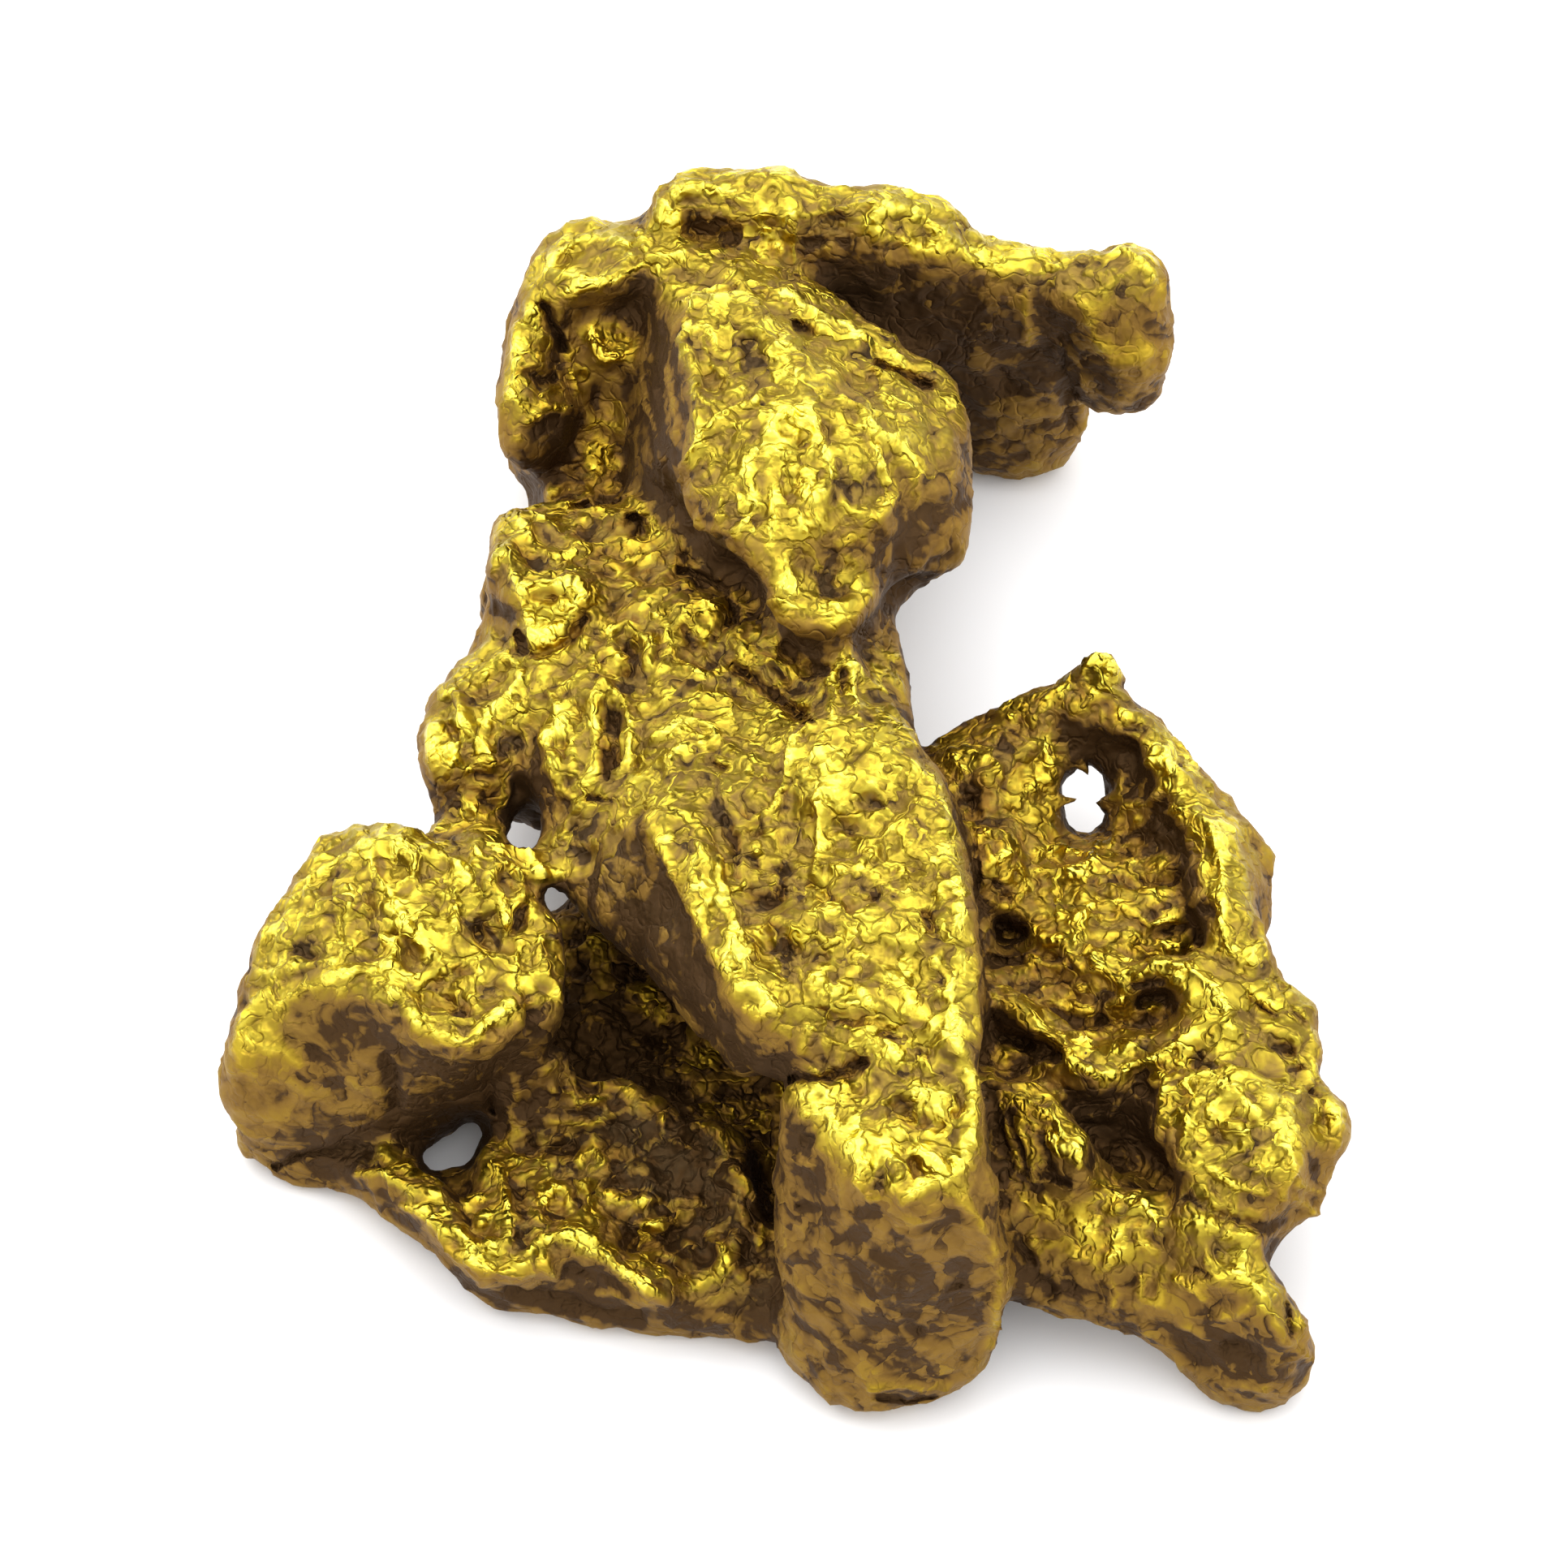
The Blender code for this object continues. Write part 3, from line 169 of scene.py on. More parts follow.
class NuggetSurface(bpy.types.PropertyGroup):
    """The sizes of the worked surface."""

    grain: length("Grain", "Size of the surface's mesh", 0.000096)
    evening: count("Evening", "How often the solid's facets are smoothed out", 9)
    proud: length("Proud", "How far the worked surface stands outside the plain solid", 0.00004)
    dent_size: length("Dents", "Width of the dents that gravel leaves", 0.0010)
    dent_depth: length("Dent depth", "Depth of those dents", 0.00012)
    fold_size: length("Folds", "Spacing of the sharp small folds", 0.0009)
    fold_height: length("Fold height", "Height of those folds", 0.00013)
    force: factor("Force", "How strongly the ridges and pits are worked", 0.85)
    crumb_size: length("Crumbs", "Width of the smallest bumps", 0.00034)
    crumb_height: length("Crumb height", "Height of the smallest bumps", 0.00007)
    slim: factor("Slim", "How slim the ridges and pits are made", 0.78)
    triangles: count("Triangles", "The finished surface's triangles", 190000)
    looks: count("Looks", "How many ways each point looks for open sky", 20)
    reach: length("Reach", "How far each point looks for open sky", 0.008)


class NuggetMetal(bpy.types.PropertyGroup):
    """The colours and the shine of the metal."""

    # The brightest gold: rubbed ridges, and painted light on tops that face the sky
    rubbed_and_lit: colour("Rubbed gold", "Where gravel rubs it bright, and on tops given painted light", "#FFEE60")
    body: colour("Body gold", "The gold of most of it", "#BEA836")
    dull: colour("Dull gold", "The gold of shallow hollows", "#937C2A")
    # Iron stain and painted shade: the brown of the creases and of the flanks that face away from the light
    stain_and_shade: colour("Iron stain and painted shade", "The brown iron stain and painted shade of its creases and flanks", "#866C34")
    # Stain and painted shade: the dark brown of the hollows
    umber_and_shade: colour("Umber stain and painted shade", "The dark stain and painted shade of its hollows", "#745B2E")
    # Painted shade: the black given to deep hollows that see little sky
    hollow_shade: colour("Painted shade of deep hollows", "The black painted shade of deep hollows", "#483724")
    # Tints of painted reflection and light, mixed by facing and by how much sky is open
    stained_and_reflected_tint: colour("Flank tint, stained and reflected", "The copper tint of hollows and flanks, partly iron stain and partly painted reflection", "#FDF2E4")
    bowl_reflection_tint: colour("Bowl reflection tint", "The warm painted reflection of gold in open bowls that face the sky", "#FFEECC")
    sky_lit_tint: colour("Sky-lit tint", "The green tint of painted light on gold that faces the sky", "#FCFFF8")
    shine: factor("Shine", "Roughness of the rubbed gold", 0.28)
    dullness: factor("Dullness", "Roughness of the stained gold", 0.62)
    flake: length("Flakes", "Spacing of the thin flakes of metal", 0.0007)
    crack: length("Cracks", "Spacing of the fine cracks", 0.0012)
    relief: length("Relief", "Height of the flakes", 0.00004)


class NuggetTable(bpy.types.PropertyGroup):
    """The table, the lights and the view."""

    paper: colour("Paper", "Colour of the table", "#F4F4F5")
    table_size: length("Table size", "Width of the table", 1.2)
    key: factor("Left light", "Brightness of the light behind on the left", 1.55)
    fill: factor("Right light", "Brightness of the light behind on the right", 1.1)
    room: factor("Room light", "Strength of the room's even light", 1.35)


def smoothed(points, edges, passes, share=SOFTLY):
    """The points, each moved this share of the way to the middle of its neighbours, some times over."""
    ends = np.concatenate((edges[:, 0], edges[:, 1]))
    others = np.concatenate((edges[:, 1], edges[:, 0]))
    count = np.maximum(np.bincount(ends, minlength=len(points)), 1)[:, None]
    for _ in range(passes):
        sums = [np.bincount(ends, points[others, axis], len(points)) for axis in range(3)]
        points = points + (np.stack(sums, 1) / count - points) * share
    return points


class Worked:
    """A mesh object's surface, open for working."""

    def __init__(self, thing):
        self.thing = thing
        mesh = thing.data
        self.points = np.empty(len(mesh.vertices) * 3)
        mesh.vertices.foreach_get("co", self.points)
        self.points = self.points.reshape(-1, 3)
        self.edges = np.empty(len(mesh.edges) * 2, int)
        mesh.edges.foreach_get("vertices", self.edges)
        self.edges = self.edges.reshape(-1, 2)

    def close(self):
        """Puts the points back in the mesh."""
        self.thing.data.vertices.foreach_set("co", self.points.ravel())
        self.thing.data.update()

    def facing(self, passes=0):
        """The way each point faces, evened out over its neighbours."""
        self.close()
        normals = np.empty(len(self.points) * 3)
        self.thing.data.vertices.foreach_get("normal", normals)
        normals = smoothed(normals.reshape(-1, 3), self.edges, passes, share=1.0)
        return normals / np.maximum(np.linalg.norm(normals, axis=1), TINY)[:, None]

    def look(self):
        """The surface as it is now, ready for looks along lines of sight."""
        self.close()
        mesh = self.thing.data
        mesh.calc_loop_triangles()
        corners = np.empty(len(mesh.loop_triangles) * 3, int)
        mesh.loop_triangles.foreach_get("vertices", corners)
        return BVHTree.FromPolygons(self.points.tolist(), corners.reshape(-1, 3).tolist())


def apply_all(thing):
    """Bakes an object's modifiers into its mesh."""
    graph = bpy.context.evaluated_depsgraph_get()
    graph.update()
    baked = bpy.data.meshes.new_from_object(thing.evaluated_get(graph))
    thing.modifiers.clear()
    thing.data = baked


def remesh(thing, grain):
    """Gives an object an even mesh of this size."""
    fuse = thing.modifiers.new("fuse", "REMESH")
    fuse.mode = "VOXEL"
    fuse.voxel_size = grain
    apply_all(thing)


# One stroke of the modelling tool: its kind, its width and its height or depth in mm, how bright it is rubbed
# and how light or dark it is painted to stand for light and shade, from -1 for black painted shade to 1 for
# bright, and the places it runs through on the drawing, as across, up, across, up and so on, in mm.
Stroke = namedtuple("Stroke", "kind width height wear path")


def ridge(width, height, *path):
    """A ridge, which gravel rubs bright."""
    return Stroke("ridge", width, height, wear=0.65, path=path)


def groove(width, depth, *path):
    """A groove or a hollow, which stays dull."""
    return Stroke("groove", width, depth, wear=-0.3, path=path)


def pit(width, depth, *path):
    """A deep pit or slit, pressed in and painted black as painted shade."""
    return Stroke("pit", width, depth, wear=-0.6, path=path)


def rub_and_paint_light(width, amount, *path):
    """A stroke of painted light and rubbed brightness, which makes the surface bright, or dark with painted
    shade where the amount is below 0, and leaves its shape.
    """
    return Stroke("rub_and_paint_light", width, 0.0, wear=amount, path=path)


# Many strokes paint light and shade as well as rubbed brightness: pits are painted black as shade, and
# strokes of painted light darken fronts and hollows as painted shade where their amount is below 0, and
# lighten shaded places as painted light where it is above 0.
STROKES = (
    # The wall along the back: hollows and knobs under its top edge, and the dimple in its right knob
    ridge(0.38, 0.18, -2.6, 11.9, -2.2, 12.3, -1.5, 12.4, -0.9, 12.1, -0.4, 11.9),
    ridge(0.28, 0.14, -2.4, 11.6, -2.1, 11.95, -1.3, 11.98, -0.75, 11.8),
    groove(0.6, 0.35, -1.9, 11.5, -1, 11.45),
    ridge(0.32, 0.22, 0.1, 11.9, 0.15, 11.4, 0.2, 10.95),
    ridge(0.25, 0.14, -0.6, 11.8, -0.3, 11.4, -0.05, 11.05),
    groove(0.5, 0.25, 0.75, 11.4, 1.3, 11.35),
    ridge(0.3, 0.18, 0.45, 11.75, 1.2, 11.95, 1.8, 12.05, 2.2, 11.9),
    ridge(0.5, 0.22, 1.95, 11.9, 1.95, 11.55),
    ridge(0.28, 0.16, 2.4, 11.9, 2.9, 11.75, 3.3, 11.35),
    groove(0.4, 0.28, 2.35, 11.6, 2.85, 11.4),
    ridge(0.4, 0.14, 2.3, 11.35, 2.9, 11.1, 3.2, 11),
    ridge(0.3, 0.12, 3.6, 11.3, 3.9, 10.85, 4.3, 10.8),
    groove(0.5, 0.35, 6.75, 10.65, 7.2, 10.2, 7.55, 9.7),
    ridge(0.4, 0.14, 6.4, 11, 7, 11.1, 7.5, 10.8, 7.85, 10.2),
    ridge(0.5, 0.14, 6.3, 9.9, 6.45, 9.3, 6.9, 8.8, 7.6, 9),
    groove(0.35, 0.35, 4.9, 10.6, 5.3, 10.1, 5.5, 9.4, 5.7, 8.8, 5.9, 8.1, 6.1, 7.5),
    ridge(0.5, 0.16, 5, 10.1, 5.1, 9.2),
    groove(0.5, 0.25, 4.5, 8.6, 4.7, 8.3),
    rub_and_paint_light(2.6, 0.12, 2.2, 10.2, 3.6, 9.6, 4.4, 8.6, 5, 7.4),
    rub_and_paint_light(0.9, -0.3, 6.4, 8, 7.4, 7.9),
    rub_and_paint_light(1, -0.35, -1.8, 12, -0.8, 12, 1, 11.8, 3, 11.6),
    rub_and_paint_light(1.2, -0.3, 6.2, 10.9, 7.4, 10.6),
    rub_and_paint_light(1.2, 0.4, 6.2, 9.9, 6.9, 9),
    # The hollow fold: its thin bright rim, its tongue and shelf, its shaded hollow lightened with painted
    # light, and its black slits of painted shade
    ridge(0.26, 0.2, -4.5, 10.25, -4.2, 10.35, -3.5, 10.45, -3, 10.75, -2.6, 10.95, -2.1, 10.98),
    ridge(0.3, 0.18, -4.35, 10.32, -4.3, 10.15),
    ridge(0.32, 0.14, -4.8, 10.9, -4.3, 11.3, -3.7, 11.4, -3.2, 11.2),
    ridge(0.25, 0.1, -3.9, 10.9, -3.4, 11.05, -3.1, 10.95),
    pit(0.3, 0.25, -4.55, 10.85, -4.35, 10.85),
    pit(0.2, 0.9, -4.95, 9.9, -4.85, 9.6, -4.68, 9.3, -4.62, 9.1),
    pit(0.28, 0.7, -5.3, 8.5, -5.05, 8.38, -4.8, 8.45),
    ridge(0.26, 0.16, -5.3, 9.95, -5.1, 9.5, -4.88, 9.2),
    ridge(0.3, 0.14, -5.5, 9.3, -5.6, 8.6, -5.7, 8.1),
    ridge(0.3, 0.28, -4.05, 9.5, -3.9, 9.1, -3.75, 8.85, -3.45, 8.9),
    ridge(0.3, 0.18, -4.55, 9.3, -4.5, 8.7, -4.3, 8.2),
    ridge(0.28, 0.2, -5.3, 7.5, -4.9, 7.75, -4.45, 7.85),
    ridge(0.38, 0.18, -5.5, 7.15),
    ridge(0.35, 0.14, -5.65, 8.1, -5.4, 7.8),
    ridge(0.28, 0.2, -4.8, 6.1, -4.4, 6.12, -4.1, 5.95),
    pit(0.26, 0.7, -4.3, 5.78, -3.8, 5.85, -3.4, 5.9),
    pit(0.32, 0.9, -3.15, 5.5, -2.95, 5.45, -2.9, 5.2),
    ridge(0.26, 0.14, -2.95, 8.3, -2.75, 7.6, -2.5, 6.9, -2.4, 6.2),
    ridge(0.22, 0.12, -2.4, 8.6, -2.3, 8, -2.2, 7.3),
    groove(0.25, 0.18, -2.65, 8.6, -2.5, 7.6),
    rub_and_paint_light(1.9, 1.1, -3.9, 9.4, -3.6, 8.2, -3.4, 7),
    # The crown: thin rims round its facets, a ringed crater, dimples, and slits in its skirt
    ridge(0.26, 0.22, -1.2, 10.25, -1.72, 10.2, -2, 9.6, -2.08, 9.05, -1.85, 8.6, -1.72, 8.2, -1.72, 7.25,
          -2.1, 6.25),
    ridge(0.26, 0.22, -0.96, 10.3, -0.6, 9.8, -0.25, 9.43, 0.42, 8.77, 1, 8.25),
    ridge(0.3, 0.22, 1.2, 7.95, 1.57, 7.67, 2.14, 7.1),
    ridge(0.22, 0.16, -1.67, 9.2, -1.48, 8.57, -1.1, 8.24),
    ridge(0.26, 0.16, -1.6, 9.4, -1.42, 9.15, -1.4, 8.9, -1, 8.75),
    ridge(0.22, 0.16, -1.72, 7.24, -1.4, 7.5, -1.1, 7.72, -0.7, 7.8, -0.43, 8.1, -0.2, 8.15),
    groove(1, 0.1, -1, 9.5, -0.8, 8.8, -0.6, 8.5),
    groove(0.6, 0.1, -1.3, 7.15, -1.05, 6.9),
    ridge(0.3, 0.22, -0.35, 7.2, -0.15, 7.5, 0.25, 7.65, 0.6, 7.45, 0.7, 7.1, 0.55, 6.75),
    ridge(0.3, 0.16, -0.75, 6.9, -0.3, 6.85, 0.2, 6.75),
    pit(0.26, 0.15, 0.02, 7.2, 0.15, 7.15),
    ridge(0.2, 0.14, 0.25, 7.2),
    groove(0.45, 0.2, -1.8, 6.25, -1.4, 6.2, -1.1, 6.1),
    ridge(0.22, 0.18, -0.82, 6.6, -0.6, 6.1, -0.58, 5.6, -0.91, 5.15, -1.67, 5.3, -2.2, 5.55),
    ridge(0.18, 0.12, -0.9, 5.9, -0.95, 5.6, -0.75, 5.5, -0.7, 5.85),
    ridge(0.2, 0.12, -1.3, 5.85, -1.25, 5.5),
    groove(0.45, 0.3, 1.15, 6.2, 1.6, 6.1),
    ridge(0.22, 0.16, 1.9, 6.9, 2, 6.5, 2.15, 6.2),
    ridge(0.4, 0.2, 1.3, 5.6, 1.9, 5.5, 2.3, 5.9),
    ridge(0.3, 0.16, 0.75, 7, 0.95, 6.6, 0.9, 6.2, 0.5, 5.8),
    ridge(0.3, 0.16, -0.3, 4.9, -0.2, 5.5, -0.3, 6.1),
    ridge(0.24, 0.14, 1.1, 4.9, 1.5, 5.1, 1.8, 4.8),
    ridge(0.26, 0.16, -0.3, 3.35, 0.1, 3.35, 0.5, 3.15),
    groove(0.3, 0.2, 0.3, 6.35, 0.1, 5.9),
    groove(0.4, 0.2, 0.9, 4.3, 1.3, 4),
    pit(0.26, 0.5, 0.28, 9.48, 0.5, 9.3),
    pit(0.24, 0.8, 2, 8.65, 2.5, 8.45, 3, 8.2),
    ridge(0.26, 0.16, 1.5, 9.3, 2, 9.05, 2.4, 8.8),
    ridge(0.26, 0.16, 1.7, 8.7, 1.9, 8.5),
    ridge(0.28, 0.16, 2, 7.9, 2.5, 7.75),
    ridge(0.3, 0.14, -0.7, 10.35, 0.1, 10.05, 0.9, 9.6),
    ridge(0.3, 0.1, 2.5, 6.9, 2.7, 6.4, 2.7, 5.8),
    rub_and_paint_light(1.6, 0.5, 0.3, 8, 0.4, 6.8, 0.1, 5.4, 0.2, 4.2),
    rub_and_paint_light(0.9, -0.3, -1, 9.2, -0.7, 8.6),
    rub_and_paint_light(0.6, -0.5, -1.4, 7.2, -1, 6.9, -0.6, 7.4),
    rub_and_paint_light(0.6, -0.35, 1.2, 6.2, 1.7, 6.1),
    rub_and_paint_light(0.9, 0.2, 2.6, 6.5),
    rub_and_paint_light(1, -0.45, -2.6, 9.4, -2.6, 7.6, -2.5, 6.2),
    rub_and_paint_light(1.2, -0.4, 3.4, 7.2, 3.6, 6, 2.6, 4.9),
    # The lobes under the hood: their looped rims, the creases between them, and the dark gap under the crown
    ridge(0.24, 0.22, -5.98, 4.3, -5.85, 4.75, -5.7, 4.8, -5.6, 4.4, -5.45, 4.1),
    groove(0.18, 0.2, -5.82, 4.5, -5.82, 4.2),
    ridge(0.24, 0.22, -5.4, 4.05, -4.8, 4.15, -4.3, 4.1, -4.08, 3.85, -4.3, 3.65, -4.7, 3.6),
    ridge(0.32, 0.22, -5.4, 4, -5.3, 3.5, -5.15, 3.05, -5, 2.95),
    ridge(0.24, 0.16, -4.95, 3.15, -4.6, 3.25, -4.3, 3.4),
    groove(0.35, 0.25, -5, 3.85, -4.5, 3.85),
    pit(0.2, 0.5, -5.5, 3.1, -5.35, 2.75, -5.1, 2.62, -4.65, 2.78, -4.35, 3, -4.1, 3.4),
    pit(0.28, 0.35, -5.95, 3.6, -5.65, 3.5),
    ridge(0.24, 0.18, -6.1, 2.35, -5.8, 2.6, -5.5, 2.5, -5.42, 2.1, -5.75, 1.75, -6, 1.6),
    groove(0.22, 0.18, -5.85, 2.25, -5.7, 2.05),
    ridge(0.3, 0.2, -6.8, 1.95, -6.6, 1.3, -6.3, 0.9, -6, 0.45),
    ridge(0.26, 0.18, -7.2, 1.2, -7.2, 0.6),
    groove(0.25, 0.2, -6.9, 1.4, -6.75, 0.8, -6.5, 0.5),
    ridge(0.26, 0.16, -6.75, 0.6, -6.55, 0.3),
    ridge(0.26, 0.2, -5.75, 0.1, -5.78, -0.4, -6.1, -0.65, -6.45, -0.55, -6.6, -0.3),
    groove(0.22, 0.18, -6.2, -0.2, -6.1, -0.4),
    groove(0.3, 0.25, -6.4, 0.15, -5.9, 0.2),
    ridge(0.24, 0.24, -3.85, 1.2, -3.9, 1.8, -3.65, 2.05, -3.3, 1.75, -3.1, 1.1, -3.2, 0.6, -3.35, 0.2),
    ridge(0.24, 0.2, -3.85, 1.2, -3.85, 0.6, -4, 0, -4.3, -0.15),
    groove(0.28, 0.32, -3.62, 1.6, -3.55, 1, -3.58, 0.2),
    ridge(0.26, 0.18, -4.85, 1.9, -4.65, 1.6, -4.6, 1.3),
    ridge(0.26, 0.2, -4.85, 1, -4.75, 0.4, -4.5, -0.1, -4.25, -0.3),
    ridge(0.22, 0.14, -4.35, 0.9, -4.3, 0.2),
    groove(0.22, 0.18, -4.55, 0.9, -4.5, 0.3),
    groove(0.28, 0.22, -4.25, 1.7, -4.2, 1.3),
    ridge(0.26, 0.18, -4.6, 1.9, -4.2, 2.25, -3.9, 2.4),
    ridge(0.3, 0.24, -3.6, 3.15, -3.2, 3.35, -2.95, 3.1, -2.7, 2.8, -2.85, 2.4),
    ridge(0.28, 0.16, -3.9, 2.6, -3.65, 2.85, -3.4, 2.6),
    groove(0.28, 0.25, -3.2, 2.8, -3.25, 2.4),
    ridge(0.22, 0.14, -2.75, 3.5, -2.4, 3.3, -2.3, 2.7, -2.5, 2.3),
    ridge(0.42, 0.24, -1.95, 3.55),
    ridge(0.24, 0.16, -1.62, 2.95, -1.6, 2.8),
    ridge(0.24, 0.12, -1.6, 3.8, -1.4, 3.4, -1.5, 3.1),
    pit(0.18, 0.35, -2.05, 3.2, -1.85, 2.8, -1.4, 2.7),
    ridge(0.3, 0.14, -2.1, 2.5, -1.7, 2.3, -1.2, 2.3),
    ridge(0.26, 0.18, -2.6, 0.95, -2.1, 1.3, -1.5, 1.2, -1.15, 0.7),
    ridge(0.2, 0.14, -2.3, 0.7, -2.3, 0.2),
    pit(0.3, 0.4, -1.55, 0.45, -1.25, 0.3),
    groove(0.32, 0.35, -5.1, 1.3, -5.15, 0.6, -5.1, 0),
    pit(0.22, 0.35, -4, -0.28, -3.6, -0.38, -3.2, -0.5),
    groove(0.6, 0.3, -2.1, 4.7, -1.4, 4.4, -0.8, 4),
    pit(0.24, 0.6, -2.1, 4.45, -1.4, 4.2, -1.15, 3.9, -1, 3.3),
    ridge(0.26, 0.14, -1, 3, -0.6, 2.7, -0.1, 2.5, 0.4, 2.5),
    pit(0.24, 0.6, 0, 2.8, 0.5, 2.35, 0.9, 2.3),
    ridge(0.24, 0.12, -3.6, 4.7, -3.4, 4.3, -3, 4.1),
    ridge(0.26, 0.12, -2.8, 4.7, -2.5, 4.6),
    ridge(0.26, 0.12, -5.6, 5.6, -5.3, 5.2, -4.8, 4.7, -4.2, 4.35),
    groove(0.35, 0.2, -5.3, 4.8, -5, 4.5),
    rub_and_paint_light(1, 0.3, -5.2, 3.6, -4.4, 3.7),
    rub_and_paint_light(1, 0.3, -6.7, 1.4, -6.3, 0.3),
    rub_and_paint_light(0.8, 0.3, -4.6, 1.4, -4.4, 0.2),
    rub_and_paint_light(1.2, -0.35, -1.6, 4.4, -0.9, 3.7),
    rub_and_paint_light(1.2, -0.25, -2.4, 1.9, -1.2, 2.3, -0.3, 2.4),
    rub_and_paint_light(0.3, -0.5, -3.62, 1.5, -3.55, 0.3),
    # The high ridge: its bright spine, loops and flakes, and the coarse hollows between them
    pit(0.17, 0.8, -1.05, 2.48, -0.4, 1.95, 0.2, 1.5, 0.55, 1.25),
    ridge(0.22, 0.2, 0.98, 1.4, 0.95, 2.1, 1.15, 2.5, 1.4, 2.4, 1.45, 1.5),
    pit(0.16, 0.3, 1.18, 2.25, 1.18, 1.8),
    ridge(0.24, 0.2, 0.5, 1.2, 0.18, 0.9, 0.02, 0.2, -0.15, -0.4, -0.75, -0.85),
    ridge(0.22, 0.14, -0.75, -0.85, -1.1, -0.5, -1.2, -0.2),
    ridge(0.22, 0.14, -0.8, 0.2, -0.6, 0.55, -0.4, 0.3, -0.7, -0.1),
    ridge(0.26, 0.22, 0.7, -0.2, 0.68, -1.2, 0.66, -1.8),
    pit(0.26, 0.2, 1.7, -0.35, 2, -0.45),
    pit(0.28, 0.15, 2.27, -1.38),
    ridge(0.2, 0.18, 2.2, -0.85, 1.95, -1.2, 1.75, -1.5, 1.35, -1.95, 1.1, -1.7),
    ridge(0.2, 0.18, 2.1, -2.1, 2.5, -2.25, 2.5, -1.7),
    groove(0.35, 0.3, 0.55, -2, 1, -2.35, 1.4, -2.45, 1.9, -2.15),
    groove(0.4, 0.2, 1.2, -0.9, 1.6, -0.9),
    ridge(0.36, 0.22, -1.73, -1.28, -1.4, -1.9, -1, -2.6, -1.07, -3.7),
    ridge(0.3, 0.16, -2.5, -1.2, -2.2, -1.9, -1.7, -2.7, -1.4, -3.4),
    ridge(0.2, 0.18, -0.36, -2.65, 0, -2.8, 0.4, -2.9, 0.95, -3.2),
    groove(1, 0.3, -1.1, -0.9, -0.6, -1.6, -0.2, -2.2),
    ridge(0.24, 0.12, -0.6, -1.9, -0.4, -1.6, -0.6, -1.3),
    groove(0.35, 0.2, -0.3, -3.3, 0.3, -3.4, 0.9, -3.6),
    ridge(0.32, 0.2, 3.4, -1.6, 3.6, -2.6, 3.4, -3.2, 3, -3.7),
    pit(0.18, 0.35, 2.85, -2.6, 3, -3),
    pit(0.26, 0.6, 3.85, -0.35, 3.9, -0.65),
    pit(0.15, 0.6, 3.88, -0.95, 3.92, -1.5, 3.98, -2.1),
    ridge(0.3, 0.2, 3.35, -4, 3.45, -5, 3.75, -5.9, 3.8, -6.8, 3.7, -7.6),
    ridge(0.3, 0.18, -0.9, -4, -0.5, -4.1, -0.2, -4.6),
    ridge(0.24, 0.14, -0.75, -4.5, -0.5, -4.75, -0.3, -4.4),
    ridge(0.3, 0.16, 0.6, -3.9, 0.9, -4.2, 1.5, -4.1, 1.7, -4.4),
    ridge(0.3, 0.14, 2.2, -3.9, 2.6, -4.3, 3, -4.9),
    groove(0.35, 0.32, 0.8, -4.68, 1.9, -4.72, 2.3, -5.1, 2.9, -5.6, 3.3, -5.9),
    ridge(0.28, 0.16, 0.5, -4.95, 0.35, -5.4),
    ridge(0.26, 0.14, 1, -5.2, 1.5, -5.35, 1.6, -5.5),
    ridge(0.22, 0.14, 2.1, -5.4, 2.35, -5.6),
    pit(0.18, 0.8, 0.1, -6, 0.7, -5.95, 1.2, -5.85, 1.6, -5.62),
    rub_and_paint_light(1.4, 0.5, 1, 0.6, 0.9, -0.6),
    rub_and_paint_light(1.1, 0.55, 1.5, -3.1, 2.2, -3.3, 2.4, -4.2, 3, -4.8),
    rub_and_paint_light(0.8, 0.4, -1.4, -2.4, -0.9, -3.9),
    rub_and_paint_light(1.2, -0.45, -1, -1, -0.4, -1.9),
    rub_and_paint_light(0.8, -0.3, 0, -3.4, 0.7, -3.5),
    rub_and_paint_light(1.4, -0.4, -3.8, -1.2, -3.2, -2.4, -2.2, -3.6, -1.2, -4.9, -0.6, -5.6),
    rub_and_paint_light(0.7, -0.4, 3.9, -1.6, 4, -3.2, 4, -5.5),
    # Painted shade: blackens the cave's floor and walls
    rub_and_paint_light(1.5, -1.6, -3, -7, -2, -8, -1.1, -8.9),
    rub_and_paint_light(1.8, -1.8, -4.3, -5.8, -4.1, -4.7),
    rub_and_paint_light(1.5, -1.6, -3.4, -5.8, -3, -6.2),
    rub_and_paint_light(0.9, -0.8, -2.2, -6.6, -1.2, -7.8),
    # The column's foot: a top with flakes and a hollow, brightened with painted light, and a brown front with
    # folds, darkened with painted shade
    ridge(0.5, 0.25, 2.7, -6.15, 3.1, -6.3),
    groove(0.35, 0.35, 2.3, -6.5, 2.8, -6.8, 3.4, -6.75, 3.6, -6.4),
    ridge(0.3, 0.18, 0, -6.25, 0.6, -6.3, 1.3, -6.35, 1.7, -6.4),
    ridge(0.26, 0.16, 0.4, -6.7, 0.9, -6.6, 1.1, -7),
    pit(0.26, 0.4, 0.45, -7.25, 0.6, -7.2),
    ridge(0.3, 0.2, 0.3, -7.5, 0.55, -7.65),
    ridge(0.32, 0.18, 1.3, -7.3, 1.6, -7.6, 1.5, -8, 1.8, -8.3),
    ridge(0.28, 0.18, 2.1, -7.4, 2.4, -7.8, 2.2, -8.1),
    ridge(0.28, 0.2, 2.7, -7.4, 3.05, -7.6, 3.3, -7.95, 2.8, -8.1, 2.4, -8.4),
    ridge(0.32, 0.22, 3.6, -7.1, 3.6, -7.6),
    groove(0.25, 0.2, 2, -7.8, 1.9, -8.1),
    groove(0.25, 0.2, 2.6, -7.6, 2.7, -7.9),
